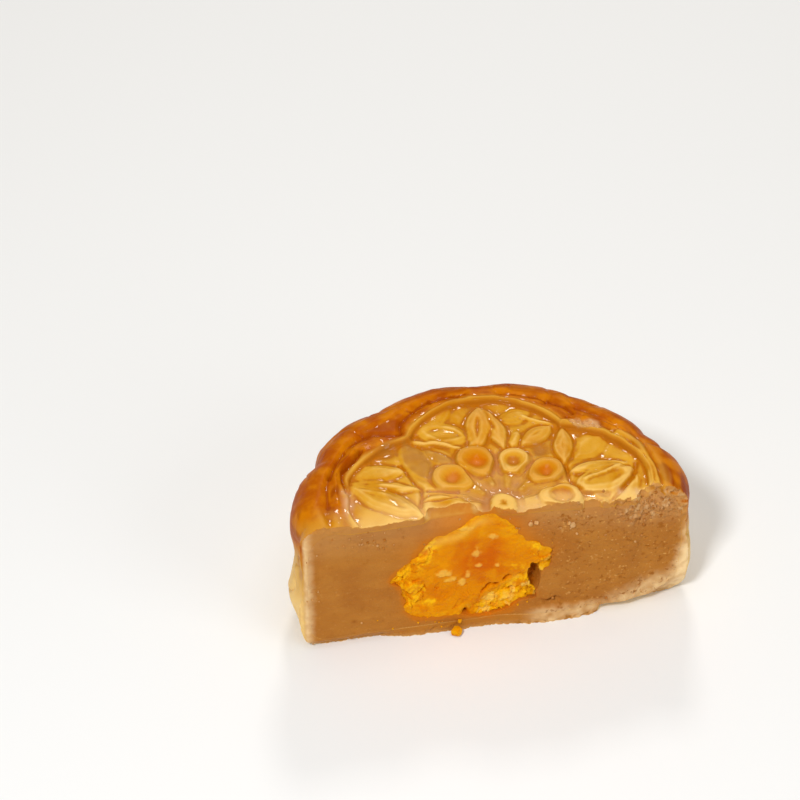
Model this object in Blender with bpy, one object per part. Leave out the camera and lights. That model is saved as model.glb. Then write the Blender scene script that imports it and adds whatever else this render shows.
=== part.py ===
"""Half of a moulded lotus seed mooncake, cut upright through its salted egg yolk.

Three solids nest in each other: a baked pastry skin with a pressed pattern on top and twelve lobes round its
side, the lotus seed paste inside it, and the egg yolk inside the paste. All sizes are in metres, +Z is up, and
the cut faces -Y. Shapes are built about the upright axis of the whole cake, and the empty cake_axis carries
them to the object's own frame, whose origin is at the middle of the half cake's footprint.
"""

import math

import bmesh
import bpy
from mathutils import Matrix, Vector, noise

# The whole cake, whose outline sits a little off the pattern's middle and is shallower than it is wide
CAKE_RADIUS = 0.0389
CAKE_HEIGHT = 0.0316
OUTLINE_SHIFT = -0.0013
OUTLINE_SQUASH = 0.970
LOBES = 12
LOBE_DEPTH = 0.0018
FIRST_CREASE = math.radians(-2)
CREASE_DRIFT = math.radians(5)
BARREL_BULGE = 0.0009
FOOT_RADIUS = 0.0046
SHOULDER_WIDTH = 0.0052
SHOULDER_DROP = 0.0062
RIM_WIDTH = 0.0084
UNEVEN_WALL = 0.0008
UNEVEN_SPAN = 0.017

# How the baked top settles: domed in the middle, and higher at the left end
TOP_DOME = 0.0011
TOP_TILT = 0.0009
UNEVEN_TOP = 0.0005

# The pressed pattern, with heights measured down from the crest of the rim
FLOOR_DROP = 0.0019
MOAT_DROP = 0.0022
MOAT_RADIUS = 0.0060
RING_RADIUS = 0.0123
PANELS = 5
PANEL_PITCH = math.tau / PANELS
FIRST_PANEL = math.radians(16.5)
BUTTON_RADIUS = 0.0030
BUTTON_DROP = 0.0007
CELL_HALF_LENGTH = 0.0048
CELL_HALF_WIDTH = 0.0034
CELL_DROP = 0.0003
PIT_DEPTH = 0.0010
ARCH_RADIUS = 0.0171
ARCH_CENTRE = 0.0135
ARCH_SPREAD = math.radians(66)
ARCH_HALF_WIDTH = 0.00095
ARCH_DROP = 0.0002
SHELF_WIDTH = 0.0046
SHELF_DROP = 0.0007
BUD_INNER = 0.0174
BUD_LENGTH = 0.0108
BUD_HALF_WIDTH = 0.0033
BUD_DROP = 0.0001
SLIT_HALF_WIDTH = 0.0003
SIDE_PETAL_LENGTH = 0.0088
SIDE_PETAL_HALF_WIDTH = 0.0024
SIDE_PETAL_RADIUS = 0.0232
SIDE_PETAL_ANGLE = math.radians(16)
SIDE_PETAL_TURN = math.radians(18)
SIDE_PETAL_DROP = 0.0009
LEAF_LENGTH = 0.0088
LEAF_HALF_WIDTH = 0.0017
LEAF_RADIUS = 0.0207
LEAF_ANGLE = math.radians(10)
LEAF_TURN = math.radians(29)
LEAF_DROP = 0.0005
MOTIF_ROOT = 0.0008

# The layers inside
SKIN_SIDE = 0.0023
SKIN_TOP = 0.0009
SKIN_BASE = 0.0026
CORE_SHOULDER = 0.0046
CORE_FOOT = 0.0030
CORE_RISE = 0.0008
THICK_FOOT = 0.0105
THICK_FOOT_HEIGHT = 0.0060
GAP = 0.0003

# The yolk: an uneven ball. Each lump of its outline on the cut has a direction, a height and a half width
YOLK_CENTRE = Vector((-0.0064, 0, 0.0159))
YOLK_RADIUS = 0.0120
YOLK_LUMPS = (
    (math.radians(-4), 0.0040, math.radians(40)),
    (math.radians(-14), -0.0025, math.radians(9)),
    (math.radians(-39), 0.0010, math.radians(8)),
    (math.radians(-143), 0.0036, math.radians(25)),
    (math.radians(-178), 0.0026, math.radians(16)),
)
YOLK_STEPS = 40
YOLK_DEPTH = 0.0142
YOLK_LAYERS = 9
YOLK_GRAIN = 0.0011
POCKET_CENTRE = Vector((0.0063, -0.0010, 0.0122))
POCKET_RADII = Vector((0.0014, 0.0040, 0.0036))

# The knife's cut
KNIFE_FRONT = 0.0010
KNIFE_WAVE = 0.0003
LIP_REACH = 0.0024
LIP_HEIGHT = 0.0040
LIP_FROM = -0.006
LIP_PEAK = 0.0135
LIP_TO = 0.0205
# Each chip's middle along X, half width and depth
TOP_CHIPS = ((-0.0115, 0.0045, 0.0017), (0.0292, 0.0038, 0.0019), (0.0165, 0.0030, 0.0008))
BASE_CHIPS = ((0.0290, 0.0105, 0.0024), (-0.0370, 0.0190, 0.0014))
CHIP_HEIGHT = 0.0042
BASE_CHIP_HEIGHT = 0.0026

# How finely the round shapes are divided
LOBE_STEPS = 10
AROUND = LOBES * LOBE_STEPS
WALL_STEPS = 4
FILLET_STEPS = 4
CORE_AROUND = 60


def smooth(low, high, x):
    """0 below low, 1 above high, and a smooth rise between them."""
    share = min(1.0, max(0.0, (x - low) / (high - low)))
    return share * share * (3 - 2 * share)


def clear_scene():
    for obj in list(bpy.data.objects):
        bpy.data.objects.remove(obj)


def material(name, colour, roughness):
    made = bpy.data.materials.new(name)
    made.use_nodes = True
    shader = made.node_tree.nodes["Principled BSDF"]
    shader.inputs["Base Color"].default_value = (*colour, 1)
    shader.inputs["Roughness"].default_value = roughness
    shader.inputs["Metallic"].default_value = 0
    return made


def new_object(name, bm, collection=None):
    """An object made from a bmesh, which is freed."""
    bmesh.ops.recalc_face_normals(bm, faces=bm.faces)
    mesh = bpy.data.meshes.new(name)
    bm.to_mesh(mesh)
    bm.free()
    obj = bpy.data.objects.new(name, mesh)
    (collection or bpy.context.scene.collection).objects.link(obj)
    return obj


def closed_loft(rings, low_tip, high_tip):
    """A closed bmesh through rings of points, capped by a fan to a point at each end."""
    bm = bmesh.new()
    loops = [[bm.verts.new(point) for point in ring] for ring in rings]
    for lower, upper in zip(loops, loops[1:]):
        for i in range(len(lower)):
            after = (i + 1) % len(lower)
            bm.faces.new((lower[i], lower[after], upper[after], upper[i]))
    for loop, tip in ((loops[0][::-1], low_tip), (loops[-1], high_tip)):
        centre = bm.verts.new(tip)
        for i in range(len(loop)):
            bm.faces.new((loop[i], loop[(i + 1) % len(loop)], centre))
    return bm


def uneven(x, y, z):
    """A slow swell of the baked dough, between -1 and 1."""
    return noise.noise(Vector((x, y, z)) / UNEVEN_SPAN)


def wall_point(turn, inset, z, crease_share):
    """A point of the outside, inset from the wall there. The lobes drift a little to one side at the back."""
    drift = CREASE_DRIFT * math.exp(-((turn - math.radians(72)) / math.radians(22)) ** 2)
    crease = (1 - abs(math.sin(LOBES * (turn - FIRST_CREASE) / 2))) ** 1.6
    bulge = BARREL_BULGE * math.sin(math.pi * z / CAKE_HEIGHT)
    radius = CAKE_RADIUS + bulge - inset - crease_share * LOBE_DEPTH * crease
    x, y = radius * math.cos(turn - drift), radius * math.sin(turn - drift)
    swell = 1 + UNEVEN_WALL / CAKE_RADIUS * uneven(2 * x, 2 * y, z)
    inner = smooth(0.4 * CAKE_RADIUS, 0.9 * CAKE_RADIUS, radius)
    squash = 1 + (OUTLINE_SQUASH - 1) * inner
    return x * swell + OUTLINE_SHIFT * inner, y * swell * squash, z


def settle(piece):
    """Moves a finished piece's upper parts to where the dome and the slope of the baked top carry them."""
    for vert in piece.data.vertices:
        x, y, z = vert.co
        dome = TOP_DOME * (1 - smooth(0.1, 1.0, math.hypot(x, y) / (CAKE_RADIUS - RIM_WIDTH)))
        lift = dome - TOP_TILT * x / CAKE_RADIUS + UNEVEN_TOP * uneven(x, y, 1.0)
        vert.co.z += lift * smooth(0.2 * CAKE_HEIGHT, 0.95 * CAKE_HEIGHT, z)


def outer_profile():
    """(inset, height, share of the crease) from the base's edge to the edge of the pattern's moat."""
    rows = []
    for i in range(FILLET_STEPS + 1):
        turn = math.radians(90) * i / FILLET_STEPS
        inset, z = FOOT_RADIUS * (1 - math.sin(turn)), FOOT_RADIUS * (1 - math.cos(turn))
        rows.append((inset, z, 0.5 + 0.4 * math.sin(turn)))
    shoulder_foot = CAKE_HEIGHT - SHOULDER_DROP
    for i in range(1, WALL_STEPS):
        rows.append((0.0, FOOT_RADIUS + (shoulder_foot - FOOT_RADIUS) * i / WALL_STEPS, 1.0))
    for i in range(FILLET_STEPS + 2):
        turn = math.radians(90) * i / (FILLET_STEPS + 1)
        inset = SHOULDER_WIDTH * (1 - math.cos(turn))
        rows.append((inset, shoulder_foot + SHOULDER_DROP * math.sin(turn), 1 - 0.7 * math.sin(turn)))
    floor = CAKE_HEIGHT - FLOOR_DROP
    rows.append(((SHOULDER_WIDTH + RIM_WIDTH) / 2, CAKE_HEIGHT - 0.25 * FLOOR_DROP, 0.15))
    rows.append((RIM_WIDTH, floor, 0.0))
    rows.append((CAKE_RADIUS - 0.0210, floor, 0.0))
    rows.append((CAKE_RADIUS - 0.0130, floor, 0.0))
    rows.append((CAKE_RADIUS - MOAT_RADIUS - 0.0008, floor, 0.0))
    rows.append((CAKE_RADIUS - MOAT_RADIUS, CAKE_HEIGHT - MOAT_DROP, 0.0))
    return rows


def plain_cake():
    """The whole cake's outside, with its lobes, rim and sunken floor, before the pattern is added."""
    rings = []
    for inset, z, share in outer_profile():
        angles = [FIRST_CREASE + math.tau * i / AROUND for i in range(AROUND)]
        rings.append([wall_point(angle, inset, z, share) for angle in angles])
    return new_object("pastry_skin", closed_loft(rings, (0, 0, 0), (0, 0, CAKE_HEIGHT - MOAT_DROP)))


def petal(half_length, half_width, roundness, skew, count):
    """A petal's outline along +X. Roundness 0.5 gives round ends and 1 points, and skew widens its outer end."""
    outline = []
    for i in range(count):
        along = math.cos(math.tau * i / count)
        share = (1 - along * along) ** roundness
        side = math.copysign(share, math.sin(math.tau * i / count)) if share > 1e-9 else 0.0
        outline.append((half_length * along, half_width * side * (1 + skew * along)))
    return outline


def island(name, outline, half_size, place, steps, collection):
    """A raised motif. Each step is (inset, height), and insets shrink the outline in both directions."""
    half_length, half_width = half_size
    rings = []
    for inset, z in steps:
        sx, sy = 1 - inset / half_length, 1 - inset / half_width
        rings.append([place @ Vector((u * sx, v * sy, z)) for u, v in outline])
    tips = [sum(ring, Vector()) / len(ring) for ring in (rings[0], rings[-1])]
    return new_object(name, closed_loft(rings, *tips), collection)


def polar(angle, radius, turn=0.0):
    """Places a motif at a radius on the cake's top, its +X outwards, turned further about itself."""
    outwards = Matrix.Rotation(angle, 4, "Z") @ Matrix.Translation((radius, 0, 0))
    return outwards @ Matrix.Rotation(turn, 4, "Z")


def root_height():
    return CAKE_HEIGHT - FLOOR_DROP - MOTIF_ROOT


def add_button(collection):
    crest = CAKE_HEIGHT - BUTTON_DROP
    steps = [(0, root_height()), (0, crest - 0.0006), (0.0003, crest - 0.0002), (0.0009, crest)]
    size = (BUTTON_RADIUS, BUTTON_RADIUS)
    island("button", petal(*size, 0.5, 0, 20), size, polar(0, 0), steps, collection)


def add_cell(name, angle, collection):
    """One seed cell of the ring: a raised drop-shaped rim round a pit."""
    crest = CAKE_HEIGHT - CELL_DROP
    steps = [
        (0, root_height()),
        (0.0001, crest - 0.0006),
        (0.0005, crest),
        (0.0010, crest),
        (0.0015, crest - 0.6 * PIT_DEPTH),
        (0.0022, crest - PIT_DEPTH),
    ]
    size = (CELL_HALF_LENGTH, CELL_HALF_WIDTH)
    island(name, petal(*size, 0.5, 0.28, 20), size, polar(angle, RING_RADIUS), steps, collection)


def add_petal(name, place, size, skew, crest, collection):
    """A pointed, rounded leaf or petal, with its half length and half width as its size."""
    width = size[1]
    steps = [(0, root_height()), (0, crest - 0.0008), (0.3 * width, crest - 0.0001), (0.7 * width, crest)]
    island(name, petal(*size, 0.8, skew, 14), size, place, steps, collection)


def add_bud(name, angle, collection):
    """The two halves of a panel's middle bud, with a slit between them."""
    crest = CAKE_HEIGHT - BUD_DROP
    half_length = BUD_LENGTH / 2
    count = 10
    for side, letter in ((1, "a"), (-1, "b")):
        edge = [petal(half_length, BUD_HALF_WIDTH, 0.75, -0.35, 2 * count)[i] for i in range(count + 1)]
        inner = [(u, SLIT_HALF_WIDTH) for u in (-0.5 * half_length, 0.0, 0.5 * half_length)]
        outline = [(u, v + SLIT_HALF_WIDTH) for u, v in edge] + inner
        middle = BUD_HALF_WIDTH / 2
        shifted = [(u, side * (v - middle)) for u, v in outline]
        place = polar(angle, BUD_INNER + half_length) @ Matrix.Translation((0, side * middle, 0))
        steps = [(0, root_height()), (0, crest - 0.0008), (0.0004, crest - 0.0002), (0.0009, crest)]
        island(name + letter, shifted, (half_length, middle), place, steps, collection)


def add_arch(name, angle, collection):
    """The raised arc over one panel, whose feet meet the next panels' feet, and its shelf out to the rim."""
    crest = CAKE_HEIGHT - ARCH_DROP
    shelf = CAKE_HEIGHT - SHELF_DROP
    count = 22
    profile = (
        (-ARCH_HALF_WIDTH, root_height()),
        (-ARCH_HALF_WIDTH, crest - 0.0009),
        (-ARCH_HALF_WIDTH / 2, crest),
        (ARCH_HALF_WIDTH / 2, crest),
        (1.4 * ARCH_HALF_WIDTH, shelf),
        (SHELF_WIDTH, shelf),
        (SHELF_WIDTH, root_height()),
    )
    rings = []
    for i in range(count + 1):
        turn = ARCH_SPREAD * (2 * i / count - 1)
        out = Vector((math.cos(turn), math.sin(turn), 0))
        rings.append([Vector((ARCH_CENTRE, 0, z)) + out * (ARCH_RADIUS + side) for side, z in profile])
    bm = closed_loft(rings, *(sum(ring, Vector()) / len(ring) for ring in (rings[0], rings[-1])))
    bm.transform(Matrix.Rotation(angle, 4, "Z"))
    return new_object(name, bm, collection)


def add_pattern(collection):
    """The pressed pattern of this half: the button, the seed cells, the arched panels and their leaves."""
    add_button(collection)
    for i in range(LOBES // 2):
        add_cell(f"cell_{i}", FIRST_PANEL + PANEL_PITCH / 2 * (i - 0.5), collection)
    for i in range(3):
        angle = FIRST_PANEL + PANEL_PITCH * i
        add_arch(f"arch_{i}", angle, collection)
        add_bud(f"bud_{i}", angle, collection)
        for side in (-1, 1):
            place = polar(angle + side * SIDE_PETAL_ANGLE, SIDE_PETAL_RADIUS, side * SIDE_PETAL_TURN)
            size = (SIDE_PETAL_LENGTH / 2, SIDE_PETAL_HALF_WIDTH)
            add_petal(f"side_petal_{i}{side}", place, size, 0.1, CAKE_HEIGHT - SIDE_PETAL_DROP, collection)
    for i in range(2):
        for side in (-1, 1):
            angle = FIRST_PANEL + PANEL_PITCH * (i + 0.5) + side * LEAF_ANGLE
            place = polar(angle, LEAF_RADIUS, -side * LEAF_TURN)
            size = (LEAF_LENGTH / 2, LEAF_HALF_WIDTH)
            add_petal(f"leaf_{i}{side}", place, size, -0.1, CAKE_HEIGHT - LEAF_DROP, collection)


def core_profile(shrink, angle):
    """(inset, height) of the paste's outside at an angle, base to flat top. Its foot is cut off at +X."""
    low, high = SKIN_BASE + shrink, CAKE_HEIGHT - FLOOR_DROP - SKIN_TOP - shrink
    thick = max(0.0, math.cos(angle)) ** 6
    foot_width = CORE_FOOT + (THICK_FOOT - CORE_FOOT) * thick
    foot_height = CORE_FOOT + (THICK_FOOT_HEIGHT - CORE_FOOT) * thick
    rows = []
    for i in range(FILLET_STEPS):
        turn = math.radians(90) * i / (FILLET_STEPS - 1)
        rows.append((foot_width * (1 - math.sin(turn)), low + foot_height * (1 - math.cos(turn))))
    rows.append((0.0, (low + high) / 2))
    for i in range(FILLET_STEPS):
        turn = math.radians(90) * i / (FILLET_STEPS - 1)
        drop = (CORE_SHOULDER + CORE_RISE) * (1 - math.sin(turn))
        rows.append((CORE_SHOULDER * (1 - math.cos(turn)), high + CORE_RISE - drop))
    rows.append((RIM_WIDTH - SKIN_SIDE + 0.0010, high))
    return [(SKIN_SIDE + shrink + inset, z) for inset, z in rows]


def core(name, shrink):
    """The form of the paste, its lobes softer than the outside's, shrunk all round by the gap to the skin."""
    angles = [FIRST_CREASE + math.tau * i / CORE_AROUND for i in range(CORE_AROUND)]
    profiles = [core_profile(shrink, angle) for angle in angles]
    rings = []
    for row in range(len(profiles[0])):
        ring = [wall_point(angle, *profile[row], 0.7) for angle, profile in zip(angles, profiles)]
        rings.append([Vector(point) for point in ring])
    tips = [sum(ring, Vector()) / len(ring) for ring in (rings[0], rings[-1])]
    return new_object(name, closed_loft(rings, *tips))


def yolk_spoke(angle):
    """From the yolk's centre to its outline on the cut."""
    radius = YOLK_RADIUS
    for at, height, spread in YOLK_LUMPS:
        off = (angle - at + math.pi) % math.tau - math.pi
        radius += height * math.exp(-(off / spread) ** 2)
    return Vector((radius * math.cos(angle), 0, radius * math.sin(angle)))


def yolk_form(name, grow):
    """The yolk before it is cut: its outline in layers that shrink towards the back like a ball."""
    centre = YOLK_CENTRE
    fine = [centre + yolk_spoke(math.tau * i / YOLK_STEPS) for i in range(YOLK_STEPS)]
    reach = YOLK_DEPTH + grow
    rings = []
    for i in range(YOLK_LAYERS + 1):
        turn = math.radians(90) * i / (YOLK_LAYERS + 0.4)
        y = reach * math.sin(turn) - KNIFE_FRONT
        ring = []
        for point in fine:
            out = point - centre
            ragged = 1 + 0.05 * noise.noise(out * 190 + Vector((0, 140 * y, 0)))
            spot = centre + out * (math.cos(turn) * ragged * (1 + grow / out.length))
            ring.append(Vector((spot.x, y, spot.z)))
        rings.append(ring)
    front = [Vector((point.x, -0.006, point.z)) for point in rings[0]]
    tips = Vector((centre.x, -0.006, centre.z)), centre + Vector((0, reach, 0))
    return new_object(name, closed_loft([front, *rings], *tips))


def pocket():
    """The hollow left beside the yolk."""
    bm = bmesh.new()
    bmesh.ops.create_icosphere(bm, subdivisions=3, radius=1)
    for vert in bm.verts:
        vert.co = POCKET_CENTRE + vert.co * POCKET_RADII
    return new_object("pocket", bm)


def knife_plane(x, z):
    """How far along Y the knife's cut lies, with a slow wave."""
    return -KNIFE_FRONT + KNIFE_WAVE * noise.noise(Vector((x / 0.011, z / 0.009, 4.0)))


def chip_depth(chips, x):
    return sum(depth * (1 - smooth(0.4 * half, half, abs(x - at))) for at, half, depth in chips)


def skin_cut(x, z):
    """The knife's cut through the skin, with a lip of dough at the base and chips out of both edges."""
    lip = smooth(LIP_FROM, LIP_PEAK, x) * (1 - smooth(LIP_PEAK, LIP_TO, x)) * (1 - smooth(0, LIP_HEIGHT, z))
    top = smooth(CAKE_HEIGHT - CHIP_HEIGHT, CAKE_HEIGHT - 0.6 * CHIP_HEIGHT, z) * chip_depth(TOP_CHIPS, x)
    base = (1 - smooth(0, BASE_CHIP_HEIGHT, z)) * chip_depth(BASE_CHIPS, x)
    return knife_plane(x, z) - LIP_REACH * lip + top + base


def yolk_cut(x, z):
    """The crumbly face of the cut yolk."""
    grain = noise.noise(Vector((x, 0, z)) / 0.0021) + 0.6 * noise.noise(Vector((x, 9, z)) / 0.0052)
    return knife_plane(x, z) + 0.0002 + YOLK_GRAIN * 0.5 * grain


def knife(name, cut, step):
    """A cutter in front of the cake, whose back face is the cut."""
    half, low, high, front = 0.044, -0.003, CAKE_HEIGHT + 0.004, -0.050
    columns, rows = round(2 * half / step), round((high - low) / step)
    bm = bmesh.new()
    face = []
    for j in range(rows + 1):
        z = low + (high - low) * j / rows
        line = []
        for i in range(columns + 1):
            x = half * (2 * i / columns - 1)
            line.append(bm.verts.new((x, cut(x, z), z)))
        face.append(line)
    for j in range(rows):
        for i in range(columns):
            bm.faces.new((face[j][i], face[j + 1][i], face[j + 1][i + 1], face[j][i + 1]))
    edge = [e for e in bm.edges if e.is_boundary]
    made = bmesh.ops.extrude_edge_only(bm, edges=edge)["geom"]
    for vert in (v for v in made if isinstance(v, bmesh.types.BMVert)):
        vert.co.y = front
    bmesh.ops.edgeloop_fill(bm, edges=[e for e in bm.edges if e.is_boundary])
    return new_object(name, bm)


def apply_boolean(obj, operation, other=None, collection=None):
    """Applies one exact Boolean, and removes what it used."""
    modifier = obj.modifiers.new(operation.lower(), "BOOLEAN")
    modifier.operation = operation
    modifier.solver = "EXACT"
    if collection:
        modifier.operand_type = "COLLECTION"
        modifier.collection = collection
    else:
        modifier.object = other
    bpy.context.view_layer.update()
    graph = bpy.context.evaluated_depsgraph_get()
    mesh = bpy.data.meshes.new_from_object(obj.evaluated_get(graph))
    obj.modifiers.clear()
    obj.data = mesh
    for used in list(collection.objects) if collection else [other]:
        bpy.data.objects.remove(used)
    if collection:
        bpy.data.collections.remove(collection)


def make_skin():
    pattern = bpy.data.collections.new("pattern")
    bpy.context.scene.collection.children.link(pattern)
    add_pattern(pattern)
    skin = plain_cake()
    apply_boolean(skin, "UNION", collection=pattern)
    apply_boolean(skin, "DIFFERENCE", knife("knife", skin_cut, 0.0015))
    apply_boolean(skin, "DIFFERENCE", core("hollow", 0.0))
    return skin


def make_paste():
    paste = core("lotus_paste", GAP)
    apply_boolean(paste, "DIFFERENCE", knife("knife", knife_plane, 0.0032))
    apply_boolean(paste, "DIFFERENCE", yolk_form("nest", GAP))
    apply_boolean(paste, "DIFFERENCE", pocket())
    return paste


def make_yolk():
    yolk = yolk_form("egg_yolk", 0.0)
    apply_boolean(yolk, "DIFFERENCE", knife("knife", yolk_cut, 0.0011))
    apply_boolean(yolk, "DIFFERENCE", pocket())
    return yolk


def footprint():
    """The half cake's box in plan, about the cake's axis, as (low x, high x, low y, high y)."""
    points = []
    for i in range(720):
        angle = math.tau * i / 720
        for inset, z, share in outer_profile():
            x, y, _ = wall_point(angle, inset, z, share)
            if y > -KNIFE_FRONT - KNIFE_WAVE:
                points.append((x, y))
    front = min(skin_cut(LIP_FROM + (LIP_TO - LIP_FROM) * i / 100, 0.0) for i in range(101))
    xs, ys = [p[0] for p in points], [p[1] for p in points]
    return min(xs), max(xs), front, max(ys)


def main():
    clear_scene()
    axis = bpy.data.objects.new("cake_axis", None)
    bpy.context.scene.collection.objects.link(axis)
    low_x, high_x, low_y, high_y = footprint()
    axis.location = (-(low_x + high_x) / 2, -(low_y + high_y) / 2, 0)
    pieces = (
        (make_skin(), material("baked_pastry", (0.56, 0.22, 0.03), 0.32)),
        (make_paste(), material("lotus_paste", (0.42, 0.21, 0.07), 0.55)),
        (make_yolk(), material("egg_yolk", (0.85, 0.30, 0.01), 0.45)),
    )
    for piece, finish in pieces:
        piece.data.materials.clear()
        piece.data.materials.append(finish)
        settle(piece)
        piece.data.shade_smooth()
        piece.data.set_sharp_from_angle(angle=math.radians(38))
        piece.parent = axis


main()
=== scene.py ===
"""The looks of a lotus seed mooncake cut upright through its salted egg yolk.

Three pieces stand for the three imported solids: the baked skin with its pressed flower, the lotus seed paste
and the egg yolk, each cut by a knife face of its own grain. Loose crumbs of each lie on and before the cut.
Shapes are modelled in millimetres about the upright axis of the whole cake, with the cut facing -Y, and each
finished piece is then served: brought to metres and moved onto the frame.
"""

import logging
import math
from collections.abc import Callable, Sequence
from dataclasses import dataclass, field
from enum import Enum

import bpy
import numpy as np
from mathutils import Matrix, Vector, noise
from mathutils.bvhtree import BVHTree


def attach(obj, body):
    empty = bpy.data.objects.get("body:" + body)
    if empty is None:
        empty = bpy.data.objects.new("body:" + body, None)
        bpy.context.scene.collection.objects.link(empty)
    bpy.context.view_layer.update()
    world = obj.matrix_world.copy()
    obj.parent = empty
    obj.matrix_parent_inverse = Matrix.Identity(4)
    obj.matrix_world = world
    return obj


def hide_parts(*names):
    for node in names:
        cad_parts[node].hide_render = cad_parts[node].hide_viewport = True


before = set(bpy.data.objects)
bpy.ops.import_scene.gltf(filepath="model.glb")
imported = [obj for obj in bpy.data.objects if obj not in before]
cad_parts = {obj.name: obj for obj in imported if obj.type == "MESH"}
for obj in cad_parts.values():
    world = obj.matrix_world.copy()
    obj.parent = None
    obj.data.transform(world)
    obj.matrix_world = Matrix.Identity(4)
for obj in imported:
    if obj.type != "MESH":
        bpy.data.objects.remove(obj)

METRES = 0.001
CAKE_AXIS = Vector((1.0488, -17.5891, 0.0))
BODY = "root"
WELD = 0.001
QUARTER_TURN = math.radians(90)
CUTTER_DEPTH = 60.0
CUT_BOX = (-44.0, 44.0, -3.0, 36.0)
PINHOLE_SIDES = 8
NEAR_ROUNDS = 8
WIDE_ROUNDS = 45
NOISE_SEED = 7

log = logging.getLogger("mooncake")


class Node(Enum):
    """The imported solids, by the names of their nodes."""

    SKIN = "pastry_skin"
    PASTE = "lotus_paste"
    YOLK = "egg_yolk"


Array = np.ndarray
Piece = bpy.types.Object
Socket = bpy.types.NodeSocket
Pair = tuple[float, float]
Triple = tuple[float, float, float]
Quad = tuple[float, float, float, float]
Tone = Quad
Cut = Callable[[Array, Array], Array]


def ease(low: float, high: float, x: Array) -> Array:
    """0 below low, 1 above high, and a smooth rise between them."""
    share = np.clip((x - low) / (high - low), 0.0, 1.0)
    return share * share * (3 - 2 * share)


def fade(low: float, high: float, x: Array) -> Array:
    """1 below low, 0 above high, and a smooth fall between them."""
    return 1 - ease(low, high, x)


def window(x: Array, low: float, full: float, falling: float, high: float) -> Array:
    """0 below low, 1 from full to falling, 0 above high, and smooth between."""
    return ease(low, full, x) * fade(falling, high, x)


def contour(x: Array, knots: Sequence[Pair]) -> Array:
    """A height that passes smoothly through knots, each a place and a height."""
    height = np.full_like(x, knots[0][1])
    for (x0, h0), (x1, h1) in zip(knots, knots[1:]):
        height = height + (h1 - h0) * ease(x0, x1, x)
    return height


def bell(x: Array, centre: float, width: float) -> Array:
    """A bump of height 1 at the centre, gone within about twice the width."""
    return np.exp(-(((x - centre) / width) ** 2))


def spot(dx: Array, dy: Array, reach: float) -> Array:
    """A round bump of height 1, by how far each place lies from its middle each way."""
    return bell(np.hypot(dx, dy), 0.0, reach)


def soft_max(a: Array, b: Array, blend: float = 0.25) -> Array:
    """The larger of two heights, with a small fillet where they meet."""
    overlap = np.clip(1 - np.abs(a - b) / blend, 0.0, None)
    return np.maximum(a, b) + blend * overlap**2 / 4


def swell(places: Array, span: float | Sequence[float], seed: float = 0.0) -> Array:
    """Smooth noise between about -1 and 1.

    Args:
        places: The points, one in each row.
        span: How far apart its swells lie, the same all ways or one along each axis.
        seed: Shifts the noise, so that two of them differ.

    Returns:
        The noise at each point.
    """
    return np.array([noise.noise(place) for place in (places / span + seed).tolist()])


def uneven(places: Array, *swells: tuple[float, float | Sequence[float], float]) -> Array:
    """Noise of several sizes laid over one another, each a height, a span and a seed."""
    return sum(height * swell(places, span, seed) for height, span, seed in swells)


def grains(places: Array, span: float, seed: float = 0.0) -> tuple[Array, Array, Array]:
    """Packed grains, as crumbly food breaks into.

    Args:
        places: The points, one in each row.
        span: The grains' usual size.
        seed: Shifts the grains.

    Returns:
        How far each point is from its grain's edge, 0 to about 1, the grain's own number between -1 and 1,
        and the height of the grain's sloping face.
    """
    number_scatter, slope_scatter = 7.3, 5.1
    rim, number, slope = [], [], []
    for place in (places / span + seed).tolist():
        distances, centres = noise.voronoi(place)
        centre = centres[0]
        rim.append(distances[1] - distances[0])
        number.append(noise.noise(centre * number_scatter))
        slope.append(noise.noise_vector(centre * slope_scatter).dot(Vector(place) - centre))
    return np.array(rim), np.array(number), np.array(slope)


def on_cut(x: Array, z: Array, y: float = 0.0) -> Array:
    """The points of the upright cut as rows of x, y and z."""
    return np.column_stack((x, np.full_like(x, y), z))


def on_level(x: Array, y: Array) -> Array:
    """The points of the level top as rows of x, y and z."""
    return np.column_stack((x, y, np.zeros_like(x)))


def in_frame_of(x: Array, y: Array, start: Pair, end: Pair) -> tuple[Array, Array, float]:
    """Places measured along and across a line.

    Args:
        x: The places' first coordinate.
        y: The places' second coordinate.
        start: One end of the line.
        end: Its other end.

    Returns:
        The distance along the line from its middle, the distance to its left, and the line's length.
    """
    length = math.dist(start, end)
    ax, ay = (end[0] - start[0]) / length, (end[1] - start[1]) / length
    dx, dy = x - (start[0] + end[0]) / 2, y - (start[1] + end[1]) / 2
    return dx * ax + dy * ay, dy * ax - dx * ay, length


def lens_depth(u: Array, v: Array, half_length: float, half_width: float) -> Array:
    """How far inside a pointed lens a place is, less than 0 outside."""
    offset = (half_length**2 - half_width**2) / (2 * half_width)
    return offset + half_width - np.hypot(u, np.abs(v) + offset)


def drop_depth(u: Array, v: Array, wide: float, narrow: float, length: float) -> Array:
    """How far inside a drop a place is, its wide end about (length, 0) and its narrow one about (0, 0)."""
    along, across = length - u, np.abs(v)
    lean = (wide - narrow) / length
    upright = math.sqrt(1 - lean * lean)
    side = along * upright - across * lean
    outside = across * upright + along * lean - wide
    outside = np.where(side < 0, np.hypot(across, along) - wide, outside)
    return -np.where(side > upright * length, np.hypot(across, along - length) - narrow, outside)


def release() -> None:
    """Leaves edit mode and lets go of every object."""
    if bpy.context.object and bpy.context.object.mode != "OBJECT":
        bpy.ops.object.mode_set(mode="OBJECT")
    bpy.ops.object.select_all(action="DESELECT")


def take(piece: Piece) -> None:
    """Selects one piece alone and makes it the active one."""
    release()
    piece.select_set(True)
    bpy.context.view_layer.objects.active = piece


def edit(piece: Piece, pick: str = "VERT") -> None:
    """Enters edit mode on one piece with all of it selected."""
    take(piece)
    bpy.ops.object.mode_set(mode="EDIT")
    bpy.ops.mesh.select_mode(type=pick)
    bpy.ops.mesh.select_all(action="SELECT")


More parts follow.
